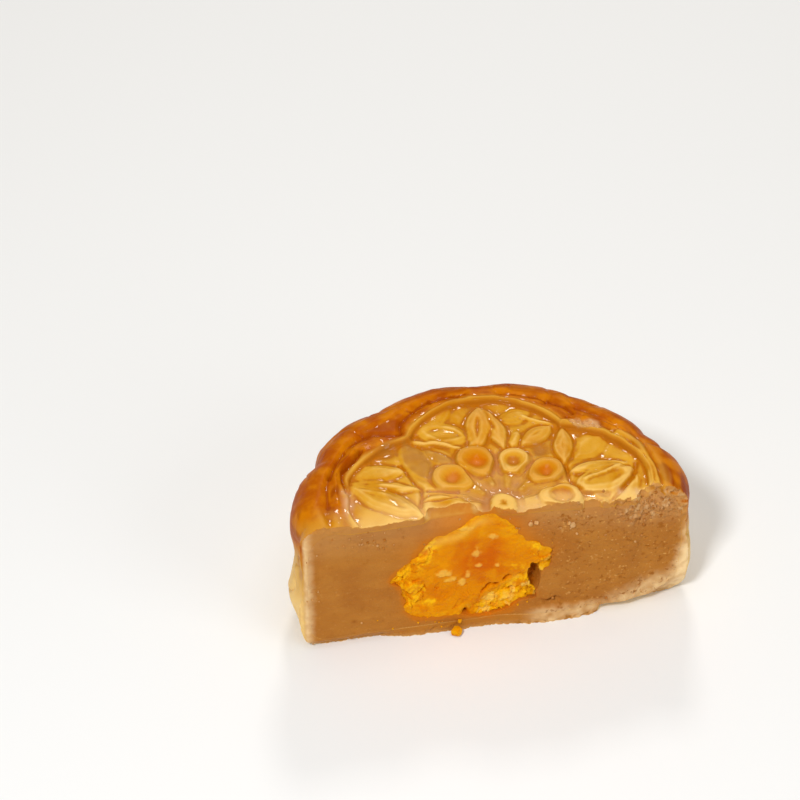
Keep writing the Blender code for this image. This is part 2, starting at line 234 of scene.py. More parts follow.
def named(name: str) -> Piece:
    """Names the primitive that was just added, and puts its place into its mesh."""
    piece = bpy.context.object
    piece.name = name
    piece.data.name = name
    bpy.ops.object.transform_apply(location=True, rotation=True, scale=True)
    return piece


def points_of(piece: Piece) -> Array:
    """The piece's points as rows of x, y and z."""
    places = np.empty(len(piece.data.vertices) * 3, np.float32)
    piece.data.vertices.foreach_get("co", places)
    return places.reshape(-1, 3).astype(float)


def normals_of(piece: Piece) -> Array:
    """The outward direction at each point."""
    ways = np.empty(len(piece.data.vertices) * 3, np.float32)
    piece.data.vertices.foreach_get("normal", ways)
    return ways.reshape(-1, 3).astype(float)


def move_points(piece: Piece, places: Array) -> None:
    """Puts the piece's points at new places."""
    piece.data.vertices.foreach_set("co", places.astype(np.float32).ravel())
    piece.data.update()


def paint(piece: Piece, name: str, shares: Array) -> None:
    """Stores a share between 0 and 1 at each point, for the finish to read."""
    layer = piece.data.attributes.new(name, "FLOAT", "POINT")
    layer.data.foreach_set("value", np.clip(shares, 0.0, 1.0).astype(np.float32))


def hollowness(piece: Piece, rounds: int) -> Array:
    """How far each point lies below the surface round it, in millimetres, and less than 0 on a ridge."""
    edges = np.empty(len(piece.data.edges) * 2, np.int32)
    piece.data.edges.foreach_get("vertices", edges)
    a, b = edges[0::2], edges[1::2]
    places = points_of(piece)
    count = np.bincount(np.concatenate((a, b)), minlength=len(places))[:, None].clip(1)
    calm = places.copy()
    for _ in range(rounds):
        total = np.empty_like(calm)
        for axis in range(3):
            drawn = np.concatenate((calm[b, axis], calm[a, axis]))
            total[:, axis] = np.bincount(np.concatenate((a, b)), drawn, minlength=len(places))
        calm = total / count
    return ((calm - places) * normals_of(piece)).sum(axis=1)


def lathe(name: str, outline: Sequence[Pair], steps: int) -> Piece:
    """Draws an outline by extruding a point along it, and spins it round the upright axis.

    Args:
        name: The new piece's name.
        outline: Radius and height of each point, from the axis underneath to the axis on top.
        steps: How many facets the round has.

    Returns:
        The closed round piece.
    """
    release()
    bpy.ops.mesh.primitive_plane_add(size=1, location=(outline[0][0], 0, outline[0][1]))
    piece = named(name)
    edit(piece)
    bpy.ops.mesh.merge(type="CENTER")
    for (r0, z0), (r1, z1) in zip(outline, outline[1:]):
        bpy.ops.mesh.extrude_vertices_move(TRANSFORM_OT_translate={"value": (r1 - r0, 0, z1 - z0)})
    bpy.ops.object.mode_set(mode="OBJECT")
    turning = piece.modifiers.new("turning", "SCREW")
    turning.steps = turning.render_steps = steps
    turning.use_merge_vertices = True
    turning.merge_threshold = WELD
    bpy.ops.object.modifier_apply(modifier=turning.name)
    edit(piece)
    bpy.ops.mesh.remove_doubles(threshold=WELD)
    bpy.ops.mesh.normals_make_consistent(inside=False)
    bpy.ops.object.mode_set(mode="OBJECT")
    return piece


def halve(piece: Piece, y: float) -> None:
    """Cuts away what lies in front of an upright plane, well clear of the knife's real cut."""
    edit(piece)
    bpy.ops.mesh.bisect(plane_co=(0, y, 0), plane_no=(0, 1, 0), use_fill=True, clear_inner=True)
    bpy.ops.object.mode_set(mode="OBJECT")


def blade(name: str, cut: Cut, box: Quad, spacing: float) -> Piece:
    """A cutter in front of the cake, whose back face is the cut.

    Args:
        name: The cutter's name.
        cut: Gives how far along Y the cut lies at each x and z.
        box: Lowest x, highest x, lowest z and highest z.
        spacing: How finely its face is divided.

    Returns:
        The closed cutter.
    """
    low_x, high_x, low_z, high_z = box
    width, height = high_x - low_x, high_z - low_z
    release()
    bpy.ops.mesh.primitive_grid_add(
        x_subdivisions=round(width / spacing),
        y_subdivisions=round(height / spacing),
        size=1,
        location=((low_x + high_x) / 2, 0, (low_z + high_z) / 2),
        rotation=(QUARTER_TURN, 0, 0),
    )
    bpy.context.object.scale = (width, height, 1)
    piece = named(name)
    edit(piece, "FACE")
    bpy.ops.mesh.extrude_region_move(TRANSFORM_OT_translate={"value": (0, -CUTTER_DEPTH, 0)})
    bpy.ops.mesh.select_all(action="SELECT")
    bpy.ops.mesh.normals_make_consistent(inside=False)
    bpy.ops.object.mode_set(mode="OBJECT")
    places = points_of(piece)
    back = places[:, 1] > -CUTTER_DEPTH / 2
    places[back, 1] = cut(places[back, 0], places[back, 2])
    move_points(piece, places)
    return piece


def carve(piece: Piece, cutter: Piece) -> None:
    """Takes the cutter's shape away from the piece, and the cutter off the bench."""
    take(piece)
    modifier = piece.modifiers.new("carve", "BOOLEAN")
    modifier.operation = "DIFFERENCE"
    modifier.solver = "MANIFOLD"
    modifier.object = cutter
    bpy.ops.object.modifier_apply(modifier=modifier.name)
    bpy.data.objects.remove(cutter)


def cleared(piece: Piece) -> Piece:
    """Takes away the loose slivers that the cutters leave, fills small holes in the piece and gives it back.
    """
    name = piece.name
    edit(piece)
    bpy.ops.mesh.quads_convert_to_tris()
    bpy.ops.mesh.separate(type="LOOSE")
    bpy.ops.object.mode_set(mode="OBJECT")
    *slivers, piece = sorted(bpy.context.selected_objects, key=lambda shell: len(shell.data.polygons))
    for sliver in slivers:
        bpy.data.objects.remove(sliver)
    piece.name = piece.data.name = name
    edit(piece, "EDGE")
    bpy.ops.mesh.fill_holes(sides=PINHOLE_SIDES)
    bpy.ops.object.mode_set(mode="OBJECT")
    return piece


def serve(piece: Piece, finish: bpy.types.Material, edge: float) -> None:
    """Dresses a finished piece, brings it to metres and sets it on the frame.

    Args:
        piece: The piece, in millimetres about the cake's axis.
        finish: Its material.
        edge: The angle in degrees above which an edge stays crisp.
    """
    take(piece)
    piece.data.materials.clear()
    piece.data.materials.append(finish)
    bpy.ops.object.shade_smooth_by_angle(angle=math.radians(edge))
    piece.data.transform(Matrix.Scale(METRES, 4) @ Matrix.Translation(CAKE_AXIS))
    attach(piece, BODY)
    piece.select_set(False)


@dataclass(frozen=True)
class CakeForm:
    """The whole cake's outside and the settling of its baked top, the same as the solids have."""

    radius: float = 38.9
    height: float = 31.6
    outline_shift: float = -1.3
    outline_squash: float = 0.970
    lobes: int = 12
    lobe_depth: float = 1.8
    first_crease: float = math.radians(-2)
    crease_drift: float = math.radians(5)
    barrel_bulge: float = 0.9
    foot_radius: float = 4.6
    shoulder_width: float = 5.2
    shoulder_drop: float = 6.2
    rim_width: float = 8.4
    uneven_wall: float = 0.8
    uneven_span: float = 17.0
    top_dome: float = 1.1
    top_tilt: float = 0.9
    uneven_top: float = 0.5

    @property
    def shoulder_foot(self) -> float:
        """The height where the wall turns into the shoulder."""
        return self.height - self.shoulder_drop

    def crease_share(self, inset: Array, z: Array) -> Array:
        """How deep the creases between the lobes are at each place of the outside."""
        under = np.clip((self.radius - inset) / (self.radius - self.foot_radius), 0, 1)
        foot = np.where(inset < self.foot_radius, 0.9 - 0.4 * inset / self.foot_radius, 0.5 * under)
        shoulder = 1 - 0.7 * np.clip((z - self.shoulder_foot) / self.shoulder_drop, 0, 1)
        middle = (self.shoulder_width + self.rim_width) / 2
        rim = np.interp(inset, (self.shoulder_width, middle, self.rim_width), (0.3, 0.15, 0))
        upper = np.where(inset > self.shoulder_width, rim, shoulder)
        return np.where(z < self.foot_radius, foot, np.where(z > self.shoulder_foot, upper, 1.0))

    def outside(self, turn: Array, inset: Array, z: Array, share: Array | float) -> Array:
        """Points on or inside the wall.

        Args:
            turn: The angle round the axis.
            inset: How far inside the plain round wall each point is.
            z: Its height.
            share: How much of the creases it follows.

        Returns:
            The points, one in each row.
        """
        drift = self.crease_drift * bell(turn, math.radians(72), math.radians(22))
        crease = (1 - np.abs(np.sin(self.lobes * (turn - self.first_crease) / 2))) ** 1.6
        bulge = self.barrel_bulge * np.sin(math.pi * z / self.height)
        radius = self.radius + bulge - inset - share * self.lobe_depth * crease
        x, y = radius * np.cos(turn - drift), radius * np.sin(turn - drift)
        round_wall = np.column_stack((2 * x, 2 * y, z))
        grown = 1 + self.uneven_wall / self.radius * swell(round_wall, self.uneven_span)
        outer = ease(0.4 * self.radius, 0.9 * self.radius, radius)
        squash = 1 + (self.outline_squash - 1) * outer
        return np.column_stack((x * grown + self.outline_shift * outer, y * grown * squash, z))

    def settled(self, places: Array) -> Array:
        """Points where the dome and the slope of the baked top carry them."""
        x, y, z = places.T
        reach = np.hypot(x, y) / (self.radius - self.rim_width)
        dome = self.top_dome * fade(0.1, 1.0, reach)
        level = np.column_stack((x, y, np.ones_like(x)))
        lift = dome - self.top_tilt * x / self.radius + self.uneven_top * swell(level, self.uneven_span)
        risen = z + lift * ease(0.2 * self.height, 0.95 * self.height, z)
        return np.column_stack((x, y, risen))


@dataclass(frozen=True)
class SeedCell:
    """A drop-shaped seed cell of the ring: its place, its size, and how deep and how browned its pit is."""

    angle: float
    outer: float
    wide: float
    narrow: float
    crest: float
    pit: float
    browned: float


@dataclass(frozen=True)
class Petal:
    """A raised leaf or half petal from its root to its tip.

    Its middle sags, its dough is thin or browned, and a groove runs round it.
    """

    root: Pair
    tip: Pair
    half_width: float
    crest: float
    sag: float = 0.0
    thin: float = 0.0
    browned: float = 0.0
    groove: float = 1.0


@dataclass(frozen=True)
class Fold:
    """A ridge along a line of points, or a crease where its height is less than 0."""

    height: float
    half_width: float
    points: tuple[Pair, ...]

    def trace(self, x: Array, y: Array) -> Array:
        """The fold's height at each place."""
        nearest = np.full_like(x, np.inf)
        for start, end in zip(self.points, self.points[1:]):
            u, v, length = in_frame_of(x, y, start, end)
            past = np.clip(np.abs(u) - length / 2, 0, None)
            nearest = np.minimum(nearest, np.hypot(past, v))
        return self.height * bell(nearest, 0.0, self.half_width)


@dataclass(frozen=True)
class PressedFlower:
    """The pressed flower on top: heights under the rim's crest, and where its dough is thin or browned."""

    floor: float = -1.25
    moat: float = -2.0
    outline_depth: float = 0.26
    button: tuple[Pair, ...] = ((0.0, -0.95), (1.3, -0.62), (2.0, -0.6), (2.7, -1.1), (3.3, -2.6))
    arch_centre: float = 13.5
    arch_radius: float = 17.1
    panels: int = 5
    first_panel: float = math.radians(16.5)
    arch: tuple[Pair, ...] = (
        (-1.8, -1.7), (-1.2, -1.5), (-0.5, -0.4), (0.0, 0.0), (0.6, -0.32), (1.5, -0.30), (2.7, -0.38)
    )
    cells: tuple[SeedCell, ...] = (
        SeedCell(1.0, 12.2, 3.2, 2.0, -0.45, 2.0, 0.25),
        SeedCell(38.0, 13.0, 3.3, 1.7, -0.25, 1.0, 0.85),
        SeedCell(69.5, 13.0, 3.0, 1.7, -0.35, 1.0, 0.25),
        SeedCell(102.5, 13.5, 3.7, 1.9, -0.10, 1.1, 1.0),
        SeedCell(133.0, 12.6, 3.5, 1.9, -0.35, 0.9, 0.75),
        SeedCell(172.0, 12.4, 3.0, 2.0, -0.8, 0.5, 0.1),
    )
    cell_length: float = 3.3
    petals: tuple[Petal, ...] = (
        Petal((3.4, 15.8), (1.4, 28.0), 2.0, -0.40, 0.35, browned=0.2),
        Petal((-1.9, 15.8), (0.7, 28.5), 2.3, -0.35, 0.42, browned=0.2),
        Petal((14.6, 7.2), (26.2, 8.4), 1.9, -0.45, groove=0.7),
        Petal((14.2, 1.9), (27.0, 6.8), 3.4, -0.35, 0.10, groove=0.5),
        Petal((-15.2, 7.0), (-28.2, 11.2), 1.5, -0.60, groove=0.6),
        Petal((-15.4, -0.6), (-28.4, 10.4), 2.7, -0.65, 0.15, groove=0.6),
        Petal((-16.4, 12.8), (-28.0, 13.2), 2.6, -0.80, groove=0.5),
        Petal((-2.4, 19.4), (-12.8, 24.2), 3.4, -0.85, 0.25, groove=0.5),
        Petal((-13.2, 22.4), (-4.4, 29.4), 2.0, -0.80, groove=0.2),
        Petal((3.6, 23.6), (10.6, 25.6), 2.2, -0.95, groove=0.2),
        Petal((7.0, 16.0), (13.6, 20.8), 1.9, -0.60, 0.25, browned=0.15),
        Petal((13.8, 9.2), (15.9, 20.2), 1.7, -0.55, 0.25, browned=0.15),
        Petal((16.4, 11.0), (23.6, 17.4), 2.8, -1.05, groove=0.2),
        Petal((20.6, -3.0), (27.2, 5.2), 2.3, -0.90, groove=0.4),
        Petal((6.8, 20.0), (5.0, 15.8), 1.3, -0.95, groove=0.3),
        Petal((-29.8, 4.6), (-22.4, 19.8), 2.0, -0.95, groove=0.0),
        Petal((-15.6, 21.2), (-12.2, 8.8), 2.8, -1.15, thin=1.0, groove=0.6),
        Petal((-12.2, 18.2), (-6.9, 12.6), 2.1, -1.15, thin=0.7, groove=0.3),
        Petal((-21.8, 6.4), (-16.4, 3.2), 1.8, -1.25, thin=0.6, groove=0.0),
    )
    folds: tuple[Fold, ...] = (
        Fold(-0.65, 0.5, ((-16.0, 22.9), (-21.0, 23.6), (-24.4, 22.4), (-28.8, 18.6), (-31.4, 12.6))),
        Fold(-0.6, 0.6, ((-15.6, 23.4), (-15.0, 26.4), (-12.3, 29.2), (-8.9, 31.2), (-1.0, 32.4))),
        Fold(-0.9, 0.4, ((-23.9, 19.6), (-26.0, 17.0), (-28.5, 14.2), (-29.0, 11.2), (-28.8, 8.2))),
        Fold(0.45, 0.5, ((-25.4, 19.4), (-27.6, 17.2), (-30.0, 14.0), (-30.6, 10.6), (-31.2, 5.6))),
        Fold(-0.4, 0.5, ((-27.6, 19.2), (-30.6, 15.4), (-32.4, 10.4), (-33.2, 4.4))),
        Fold(0.45, 0.5, ((-14.6, 20.9), (-9.6, 19.3), (-5.0, 17.2))),
        Fold(-0.35, 0.35, ((-14.0, 19.6), (-10.8, 18.2), (-7.2, 14.9))),
        Fold(-0.5, 0.45, ((-17.4, 14.6), (-16.4, 11.4), (-14.6, 7.2), (-15.4, 2.4))),
        Fold(-0.7, 0.5, ((27.6, 7.9), (26.2, 4.4), (23.6, 1.2), (20.4, -1.6))),
        Fold(-0.55, 0.45, ((14.2, 8.4), (14.1, 4.9), (15.4, 1.4), (18.6, -1.2))),
        Fold(0.35, 0.35, ((16.8, 4.4), (21.1, 5.9), (24.6, 7.6))),
        Fold(0.4, 0.45, ((9.0, 24.0), (11.6, 22.4), (15.6, 20.6), (19.0, 21.6))),
        Fold(-0.6, 0.45, ((6.4, 31.6), (12.6, 29.2), (17.4, 25.6), (18.6, 23.4))),
        Fold(-0.45, 0.4, ((19.4, 24.6), (24.4, 21.4), (28.9, 16.4), (31.4, 9.6), (31.8, 1.8), (31.0, -2.0))),
        Fold(0.4, 0.45, ((21.0, 21.8), (25.6, 18.0), (29.1, 13.0), (30.5, 7.9), (31.1, 3.5), (31.1, -2.0))),
        Fold(-0.4, 0.3, ((17.4, 22.4), (20.4, 20.6), (22.8, 20.0), (24.6, 17.6))),
        Fold(-0.45, 0.35, ((-13.6, 6.4), (-10.6, 5.9), (-7.8, 5.0))),
        Fold(-0.45, 0.35, ((-14.4, 3.3), (-11.6, 3.2), (-8.6, 3.6))),
        Fold(-0.5, 0.5, ((33.4, 8.4), (33.6, 4.0), (32.7, -2.0))),
    )
    pits: tuple[Quad, ...] = (
        (10.2, 14.4, 1.7, 0.9), (-19.2, 19.2, 1.7, 1.2), (18.2, 18.0, 1.0, 0.3), (-29.8, 5.6, 1.8, 0.4)
    )
    milky: tuple[Triple, ...] = (
        (-29.4, 8.2, 1.2), (-29.8, 5.4, 2.0), (-30.6, 3.0, 1.8), (26.4, -0.2, 1.1), (23.2, 0.6, 0.9)
    )
    knead: float = 0.34
    knead_span: float = 3.8
    torn: tuple[Pair, ...] = ((16.4, 21.6), (24.6, 18.2))
    torn_half_width: float = 1.8

    def torn_share(self, x: Array, y: Array) -> Array:
        """1 on the strip where the dough has torn and flaked."""
        u, v, length = in_frame_of(x, y, *self.torn)
        ragged = 0.7 * swell(on_level(x, y), 1.6, 31.0)
        return ease(0.0, 0.7, lens_depth(u, v, length / 2, self.torn_half_width) + ragged)

    def kneaded(self, x: Array, y: Array) -> tuple[Array, Array]:
        """The places of the plain pattern that baking has moved to x and y."""
        level = on_level(x, y)
        east, north = swell(level, self.knead_span, 21.0), swell(level, self.knead_span, 47.0)
        return x + self.knead * east, y + self.knead * north

    def beyond_arch(self, x: Array, y: Array) -> Array:
        """How far outside the scalloped line of the arches each place is, less than 0 inside a panel."""
        nearest = np.full_like(x, np.inf)
        for i in range(self.panels):
            turn = self.first_panel + math.tau * i / self.panels
            cx, cy = self.arch_centre * math.cos(turn), self.arch_centre * math.sin(turn)
            nearest = np.minimum(nearest, np.hypot(x - cx, y - cy))
        return nearest - self.arch_radius

    def cell_depth(self, cell: SeedCell, x: Array, y: Array) -> tuple[Array, Array]:
        """How far inside a cell's outline, and inside the outline of its stem, each place is."""
        turn = math.radians(cell.angle)
        u = x * math.cos(turn) + y * math.sin(turn) - (cell.outer - self.cell_length)
        v = y * math.cos(turn) - x * math.sin(turn)
        stem = drop_depth(u + 4.4, v, 2.1, 1.3, 4.4)
        return drop_depth(u, v, cell.wide, cell.narrow, self.cell_length), stem

    def cell_heart(self, cell: SeedCell, x: Array, y: Array) -> Array:
        """A round hollow in the wide part of a cell, 1 in its middle."""
        turn, out = math.radians(cell.angle), cell.outer - 0.25 * self.cell_length
        away = np.hypot(x - out * math.cos(turn), y - out * math.sin(turn))
        return fade(0.0, 0.92 * cell.wide, away)

    def petal_depth(self, petal: Petal, x: Array, y: Array) -> Array:
        """How far inside a petal's outline each place is."""
        u, v, length = in_frame_of(x, y, petal.root, petal.tip)
        return lens_depth(u, v, length / 2, petal.half_width)

    def relief(self, x: Array, y: Array) -> Array:
        """The height of the pressed top at each place, out to the crest of the arches."""
        radius = np.hypot(x, y)
        height = contour(radius, ((4.6, self.moat), (8.2, self.floor)))
        height = height + 0.12 * np.sin(x / 1.9 + 0.6 * y) * ease(14, 18, radius)
        for petal in self.petals:
            groove = bell(self.petal_depth(petal, x, y), -0.45, 0.45)
            height = soft_max(height, self.petal_relief(petal, x, y), 0.6)
            height = height - petal.groove * self.outline_depth * groove
        for cell in self.cells:
            depth, stem = self.cell_depth(cell, x, y)
            ring = contour(depth, ((-1.2, -3.2), (-0.4, -1.5), (0.5, cell.crest - 0.14), (1.1, cell.crest)))
            neck = contour(stem, ((-1.1, -3.2), (0.1, -1.6), (1.2, -1.0)))
            ring = ring - cell.pit * self.cell_heart(cell, x, y)
            height = height - self.outline_depth * bell(depth, -0.5, 0.45)
            height = soft_max(height, soft_max(neck, ring, 0.4), 0.4)
        height = soft_max(height, contour(radius, self.button), 0.3)
        for px, py, reach, depth in self.pits:
            height = height - depth * spot(x - px, y - py, reach)
        return height

    def petal_relief(self, petal: Petal, x: Array, y: Array) -> Array:
        """The height of one petal, far below everything outside it."""
        return contour(self.petal_depth(petal, x, y), (
            (-1.3, -3.2), (-0.5, petal.crest - 1.0), (0.45, petal.crest - 0.25), (1.4, petal.crest),
            (2.3, petal.crest - petal.sag),
        ))

    def thinness(self, x: Array, y: Array) -> Array:
        """Where the dough is so thin that the dark paste shows through it."""
        radius = np.hypot(x, y)
        share = 0.75 * fade(6.2, 9.6, radius) * ease(2.8, 3.4, radius)
        for cell in self.cells:
            depth, stem = self.cell_depth(cell, x, y)
            share = share * fade(-0.5, 0.3, depth) * (1 - 0.4 * ease(-0.5, 0.3, stem))
        for petal in self.petals:
            share = np.maximum(share, petal.thin * ease(0.0, 0.7, self.petal_depth(petal, x, y)))
        for px, py, reach, depth in self.pits:
            share = np.maximum(share, min(1.0, 1.1 * depth) * spot(x - px, y - py, reach))
        return share

    def browning(self, x: Array, y: Array) -> Array:
        """Where the pressed parts have browned: in the cells' pits and on the arches' inner walls, whose band
        beneath the ridge at the back is also painted shade.
        """
        beyond = self.beyond_arch(x, y)
        share = 0.8 * bell(beyond, -0.8, 0.5) * ease(3.0, 12.0, y)
        for cell in self.cells:
            depth, _ = self.cell_depth(cell, x, y)
            glow = np.maximum(self.cell_heart(cell, x, y) ** 0.8, 0.25 * ease(-0.2, 0.5, depth))
            share = np.maximum(share, cell.browned * glow)
        for petal in self.petals:
            share = np.maximum(share, petal.browned * ease(-0.2, 0.6, self.petal_depth(petal, x, y)))
        return share

    def milkiness(self, x: Array, y: Array) -> Array:
        """Where the glaze is whitish, in streaks."""
        share = np.max([spot(x - px, y - py, reach) for px, py, reach in self.milky], axis=0)
        return share * (0.85 + 0.7 * swell(np.column_stack((x, 0.4 * y, np.zeros_like(x))), 0.7, 57.0))

    def hearts(self, x: Array, y: Array) -> Array:
        """1 in the middle of every cell's hollow."""
        return np.max([self.cell_heart(cell, x, y) for cell in self.cells], axis=0)


@dataclass(frozen=True)
class KnifeCut:
    """The upright cut: how far along Y it lies on the skin, on the paste and on the yolk."""

    form: CakeForm
    front: float = 1.0
    wave: float = 0.3
    bulge: float = 1.1
    lip_reach: float = 0.5
    lip_height: float = 4.6
    top_chips: tuple[Triple, ...] = (
        (-10.2, 6.0, 2.4), (1.4, 3.2, -1.0), (17.0, 2.3, 1.3), (28.8, 2.8, 1.6)
    )
    base_chips: tuple[Triple, ...] = ((23.6, 5.2, 3.0), (33.5, 9.0, 2.9), (-37.0, 19.0, 1.2))
    chip_height: float = 4.6
    base_chip_height: float = 2.6
    ends: Pair = (-40.2, 38.2)
    end_width: float = 2.4
    end_depth: float = 1.7

    def plane(self, x: Array, z: Array) -> Array:
        """The knife's way: a slow wave, a bulge forwards on the right, and the chips on top."""
        at = np.column_stack((x / 11, z / 9, np.full_like(x, 4.0)))
        height = self.form.height
        bulge = self.bulge * window(x, -3, 6, 24, 28) * (0.7 + 0.3 * ease(0, 28, z))
        chipped = ease(height - self.chip_height, height - 0.5, z) * self.chips(self.top_chips, x)
        return -self.front + self.wave * swell(at, 1.0) - bulge + chipped + self.rounded(x)

    def rounded(self, x: Array) -> Array:
        """How far the soft dough draws back at both ends of the cut."""
        past = np.maximum(self.ends[0] + self.end_width - x, x - self.ends[1] + self.end_width)
        return self.end_depth * ease(0.0, self.end_width, past) ** 2

    def chips(self, chips: Sequence[Triple], x: Array) -> Array:
        """How deep the chips are along an edge. Each is a middle, a half width and a depth."""
        return sum(depth * fade(0.6 * half, half, np.abs(x - at)) for at, half, depth in chips)

    def creaminess(self, x: Array, z: Array) -> Array:
        """How pale the cut is: cream at both sides, in the lip and in the thick foot, with no hard edge."""
        at = on_cut(x, z)
        ragged = uneven(at, (0.6, 2.2, 4.0), (0.3, 0.9, 6.0))
        mottled = 0.85 + 0.5 * swell(at, 1.3, 8.0)
        left = 0.86 * ease(36.4, 39.4, 0.7 * ragged - x)
        right = ease(34.4, 37.8, x + ragged + 2.6 * fade(4, 20, z) - 1.6 * ease(20, 26, z))
        lip = 0.55 * window(x, 3, 8, 17, 21) * fade(3.0, 4.6, z + ragged) * mottled
        corner = 0.62 * ease(16, 24, x) * fade(1.5, 6.5, z - 0.34 * (x - 20) + 1.5 * ragged) * mottled
        under = (0.12 + 0.12 * ease(0, 8, x)) * fade(0.2, 1.4, z)
        top = 0.08 * ease(21, 28, z) + 0.06 * ease(19, 30, x) * ease(19, 25, z)
        clod = 0.35 * self.crumbled(x, z) * ease(0.0, 0.35, swell(at, 1.1, 43.0))
        return np.maximum.reduce((left, right, lip, corner, under, top, clod))

    def crumbled(self, x: Array, z: Array) -> Array:
        """1 in the corner at the top right, where the cut has crumbled instead of sliding apart."""
        return ease(20.5, 24.5, x + 0.8 * z - 21) * ease(22.0, 25.5, z + 0.8 * swell(on_cut(x, z), 3.0, 35.0))

    def lip(self, x: Array, z: Array) -> Array:
        """How far forward the knife has drawn the soft foot of the cut."""
        return self.lip_reach * window(x, 2, 9, 15, 19) * fade(0.75 * self.lip_height, self.lip_height, z)

    def skin(self, x: Array, z: Array) -> Array:
        """The cut through the dough: torn and flaky along the top edge, drawn forward at the foot."""
        height, at = self.form.height, on_cut(x, z)
        top = ease(height - 2.4, height - 1.0, z)
        base_height = self.base_chip_height + 5.0 * ease(28, 36, x)
        base = fade(0, 1, z / base_height) * self.chips(self.base_chips, x)
        flakes = ((0.20, (1.3, 1, 2.6), 3.1), (0.24, (0.6, 1, 1.0), 9.1), (0.12, (0.35, 1, 0.6), 9.7))
        torn = top * uneven(at, *flakes)
        apart = ease(0.6, 1.8, np.abs(z - 2.6)) * ease(0.6, 1.8, np.abs(z - height + 2.8))
        crumbled = apart * uneven(at, (0.10, 1.5, 7.0), (0.08, 0.6, 2.0)) + self.drawn(x, z)
        brittle = fade(0.5, 3.0, z + 0.4 * swell(at, 3.0, 5.0))
        rim, number, slope = grains(at, 1.0, 6.0)
        bits = brittle * (0.25 * number + 0.3 * slope + 0.15 * fade(0.0, 0.3, rim)) * fade(1.4, 2.3, z)
        return self.plane(x, z) - self.lip(x, z) + torn + base + crumbled + bits + self.clods(x, z)

    def paste(self, x: Array, z: Array) -> Array:
        """The cut through the paste: smooth and drawn by the knife on the left, grainy on the right."""
        at = on_cut(x, z)
        grainy = ease(2, 14, x)
        holes = (0.10 + 0.16 * grainy) * ease(0.44, 0.62, swell(at, (0.9, 1, 0.8), 4.0))
        ledge = 0.12 * ease(24.0, 24.8, z + 0.06 * x) * fade(26.0, 28.0, z) * fade(-22, -14, x)
        crevice = 1.2 * bell(x, 9.4, 1.6) * bell(z, 5.4 + 0.4 * np.sin(2 * x), 0.5)
        rough = self.drawn(x, z) + holes + self.clods(x, z) + ledge + crevice
        return self.plane(x, z) - self.lip(x, z) + rough

    def drawn(self, x: Array, z: Array) -> Array:
        """Faint lines along the knife's way, and a grain that grows to the right."""
        at = on_cut(x, z)
        lines = uneven(at, (0.04, (9, 1, 1.4), 5.0), (0.015, (4, 1, 0.6), 1.0))
        return lines + (0.035 + 0.06 * ease(2, 14, x)) * (swell(at, 0.9, 2.0) + 0.7 * swell(at, 0.42, 8.0))

    def clods(self, x: Array, z: Array) -> Array:
        """The rough corner at the top right, where paste and dough have crumbled alike."""
        at = on_cut(x, z)
        rim, number, slope = grains(at + 0.6 * swell(at, 1.2, 15.0)[:, None], 1.2, 3.0)
        lumps = 0.15 * fade(0.0, 0.4, rim) + 0.55 * number + 0.45 * slope + 0.5 * ease(26.4, 30, z)
        return self.crumbled(x, z) * (lumps + uneven(at, (0.40, 1.5, 17.0), (0.30, 0.7, 19.0)))


@dataclass(frozen=True)
class PasteCore:
    """The form of the paste inside the skin, its lobes softer than the wall's and its foot thick at +X."""

    form: CakeForm
    side: float = 2.3
    base: float = 2.6
    top: float = 2.8
    shoulder: float = 4.6
    rise: float = 0.8
    foot: float = 3.0
    thick_foot: float = 10.5
    thick_foot_height: float = 6.0
    crease_share: float = 0.7
    steps: int = 240
    fillet_steps: int = 8
    base_rings: Pair = (12.0, 20.0)
    top_ring: float = 16.0

    def build(self, name: str, shrink: float) -> Piece:
        """Makes the form.

        Args:
            name: The piece's name.
            shrink: How far it keeps inside the hollow of the skin.

        Returns:
            The closed form, still whole round.
        """
        low, high = self.base + shrink, self.form.height - self.top - shrink
        wall = self.form.radius - self.side - shrink
        foot, shoulder, drop = self.foot, self.shoulder, self.shoulder + self.rise
        turns = [(math.sin(t), math.cos(t)) for t in np.linspace(0, QUARTER_TURN, self.fillet_steps + 1)]
        outline = [(radius, low) for radius in (0.0, *self.base_rings)]
        outline += [(wall - foot * (1 - sin), low + foot * (1 - cos)) for sin, cos in turns]
        outline += [(wall, (low + high) / 2)]
        outline += [(wall - shoulder * (1 - cos), high + self.rise - drop * (1 - sin)) for sin, cos in turns]
        flat = self.form.radius - self.form.rim_width - 1.0
        outline += [(flat, high), (self.top_ring, high), (0.0, high)]
        piece = lathe(name, outline, self.steps)
        x, y, z = points_of(piece).T
        turn, radius = np.arctan2(y, x), np.hypot(x, y)
        thick = np.clip(np.cos(turn), 0, None) ** 6
        inset = wall - radius
        wider = 1 + (self.thick_foot / self.foot - 1) * thick
        taller = 1 + (self.thick_foot_height / self.foot - 1) * thick
        in_foot = (z < low + self.foot + 0.01) & (inset < self.foot + 0.01)
        z = np.where(in_foot, low + (z - low) * taller, z)
        inset = np.where(in_foot, inset * wider, inset)
        inset = np.where((z <= low) & ~in_foot, np.maximum(inset, self.thick_foot + 1.0), inset)
        move_points(piece, self.form.outside(turn, inset + self.side + shrink, z, self.crease_share))
        return piece


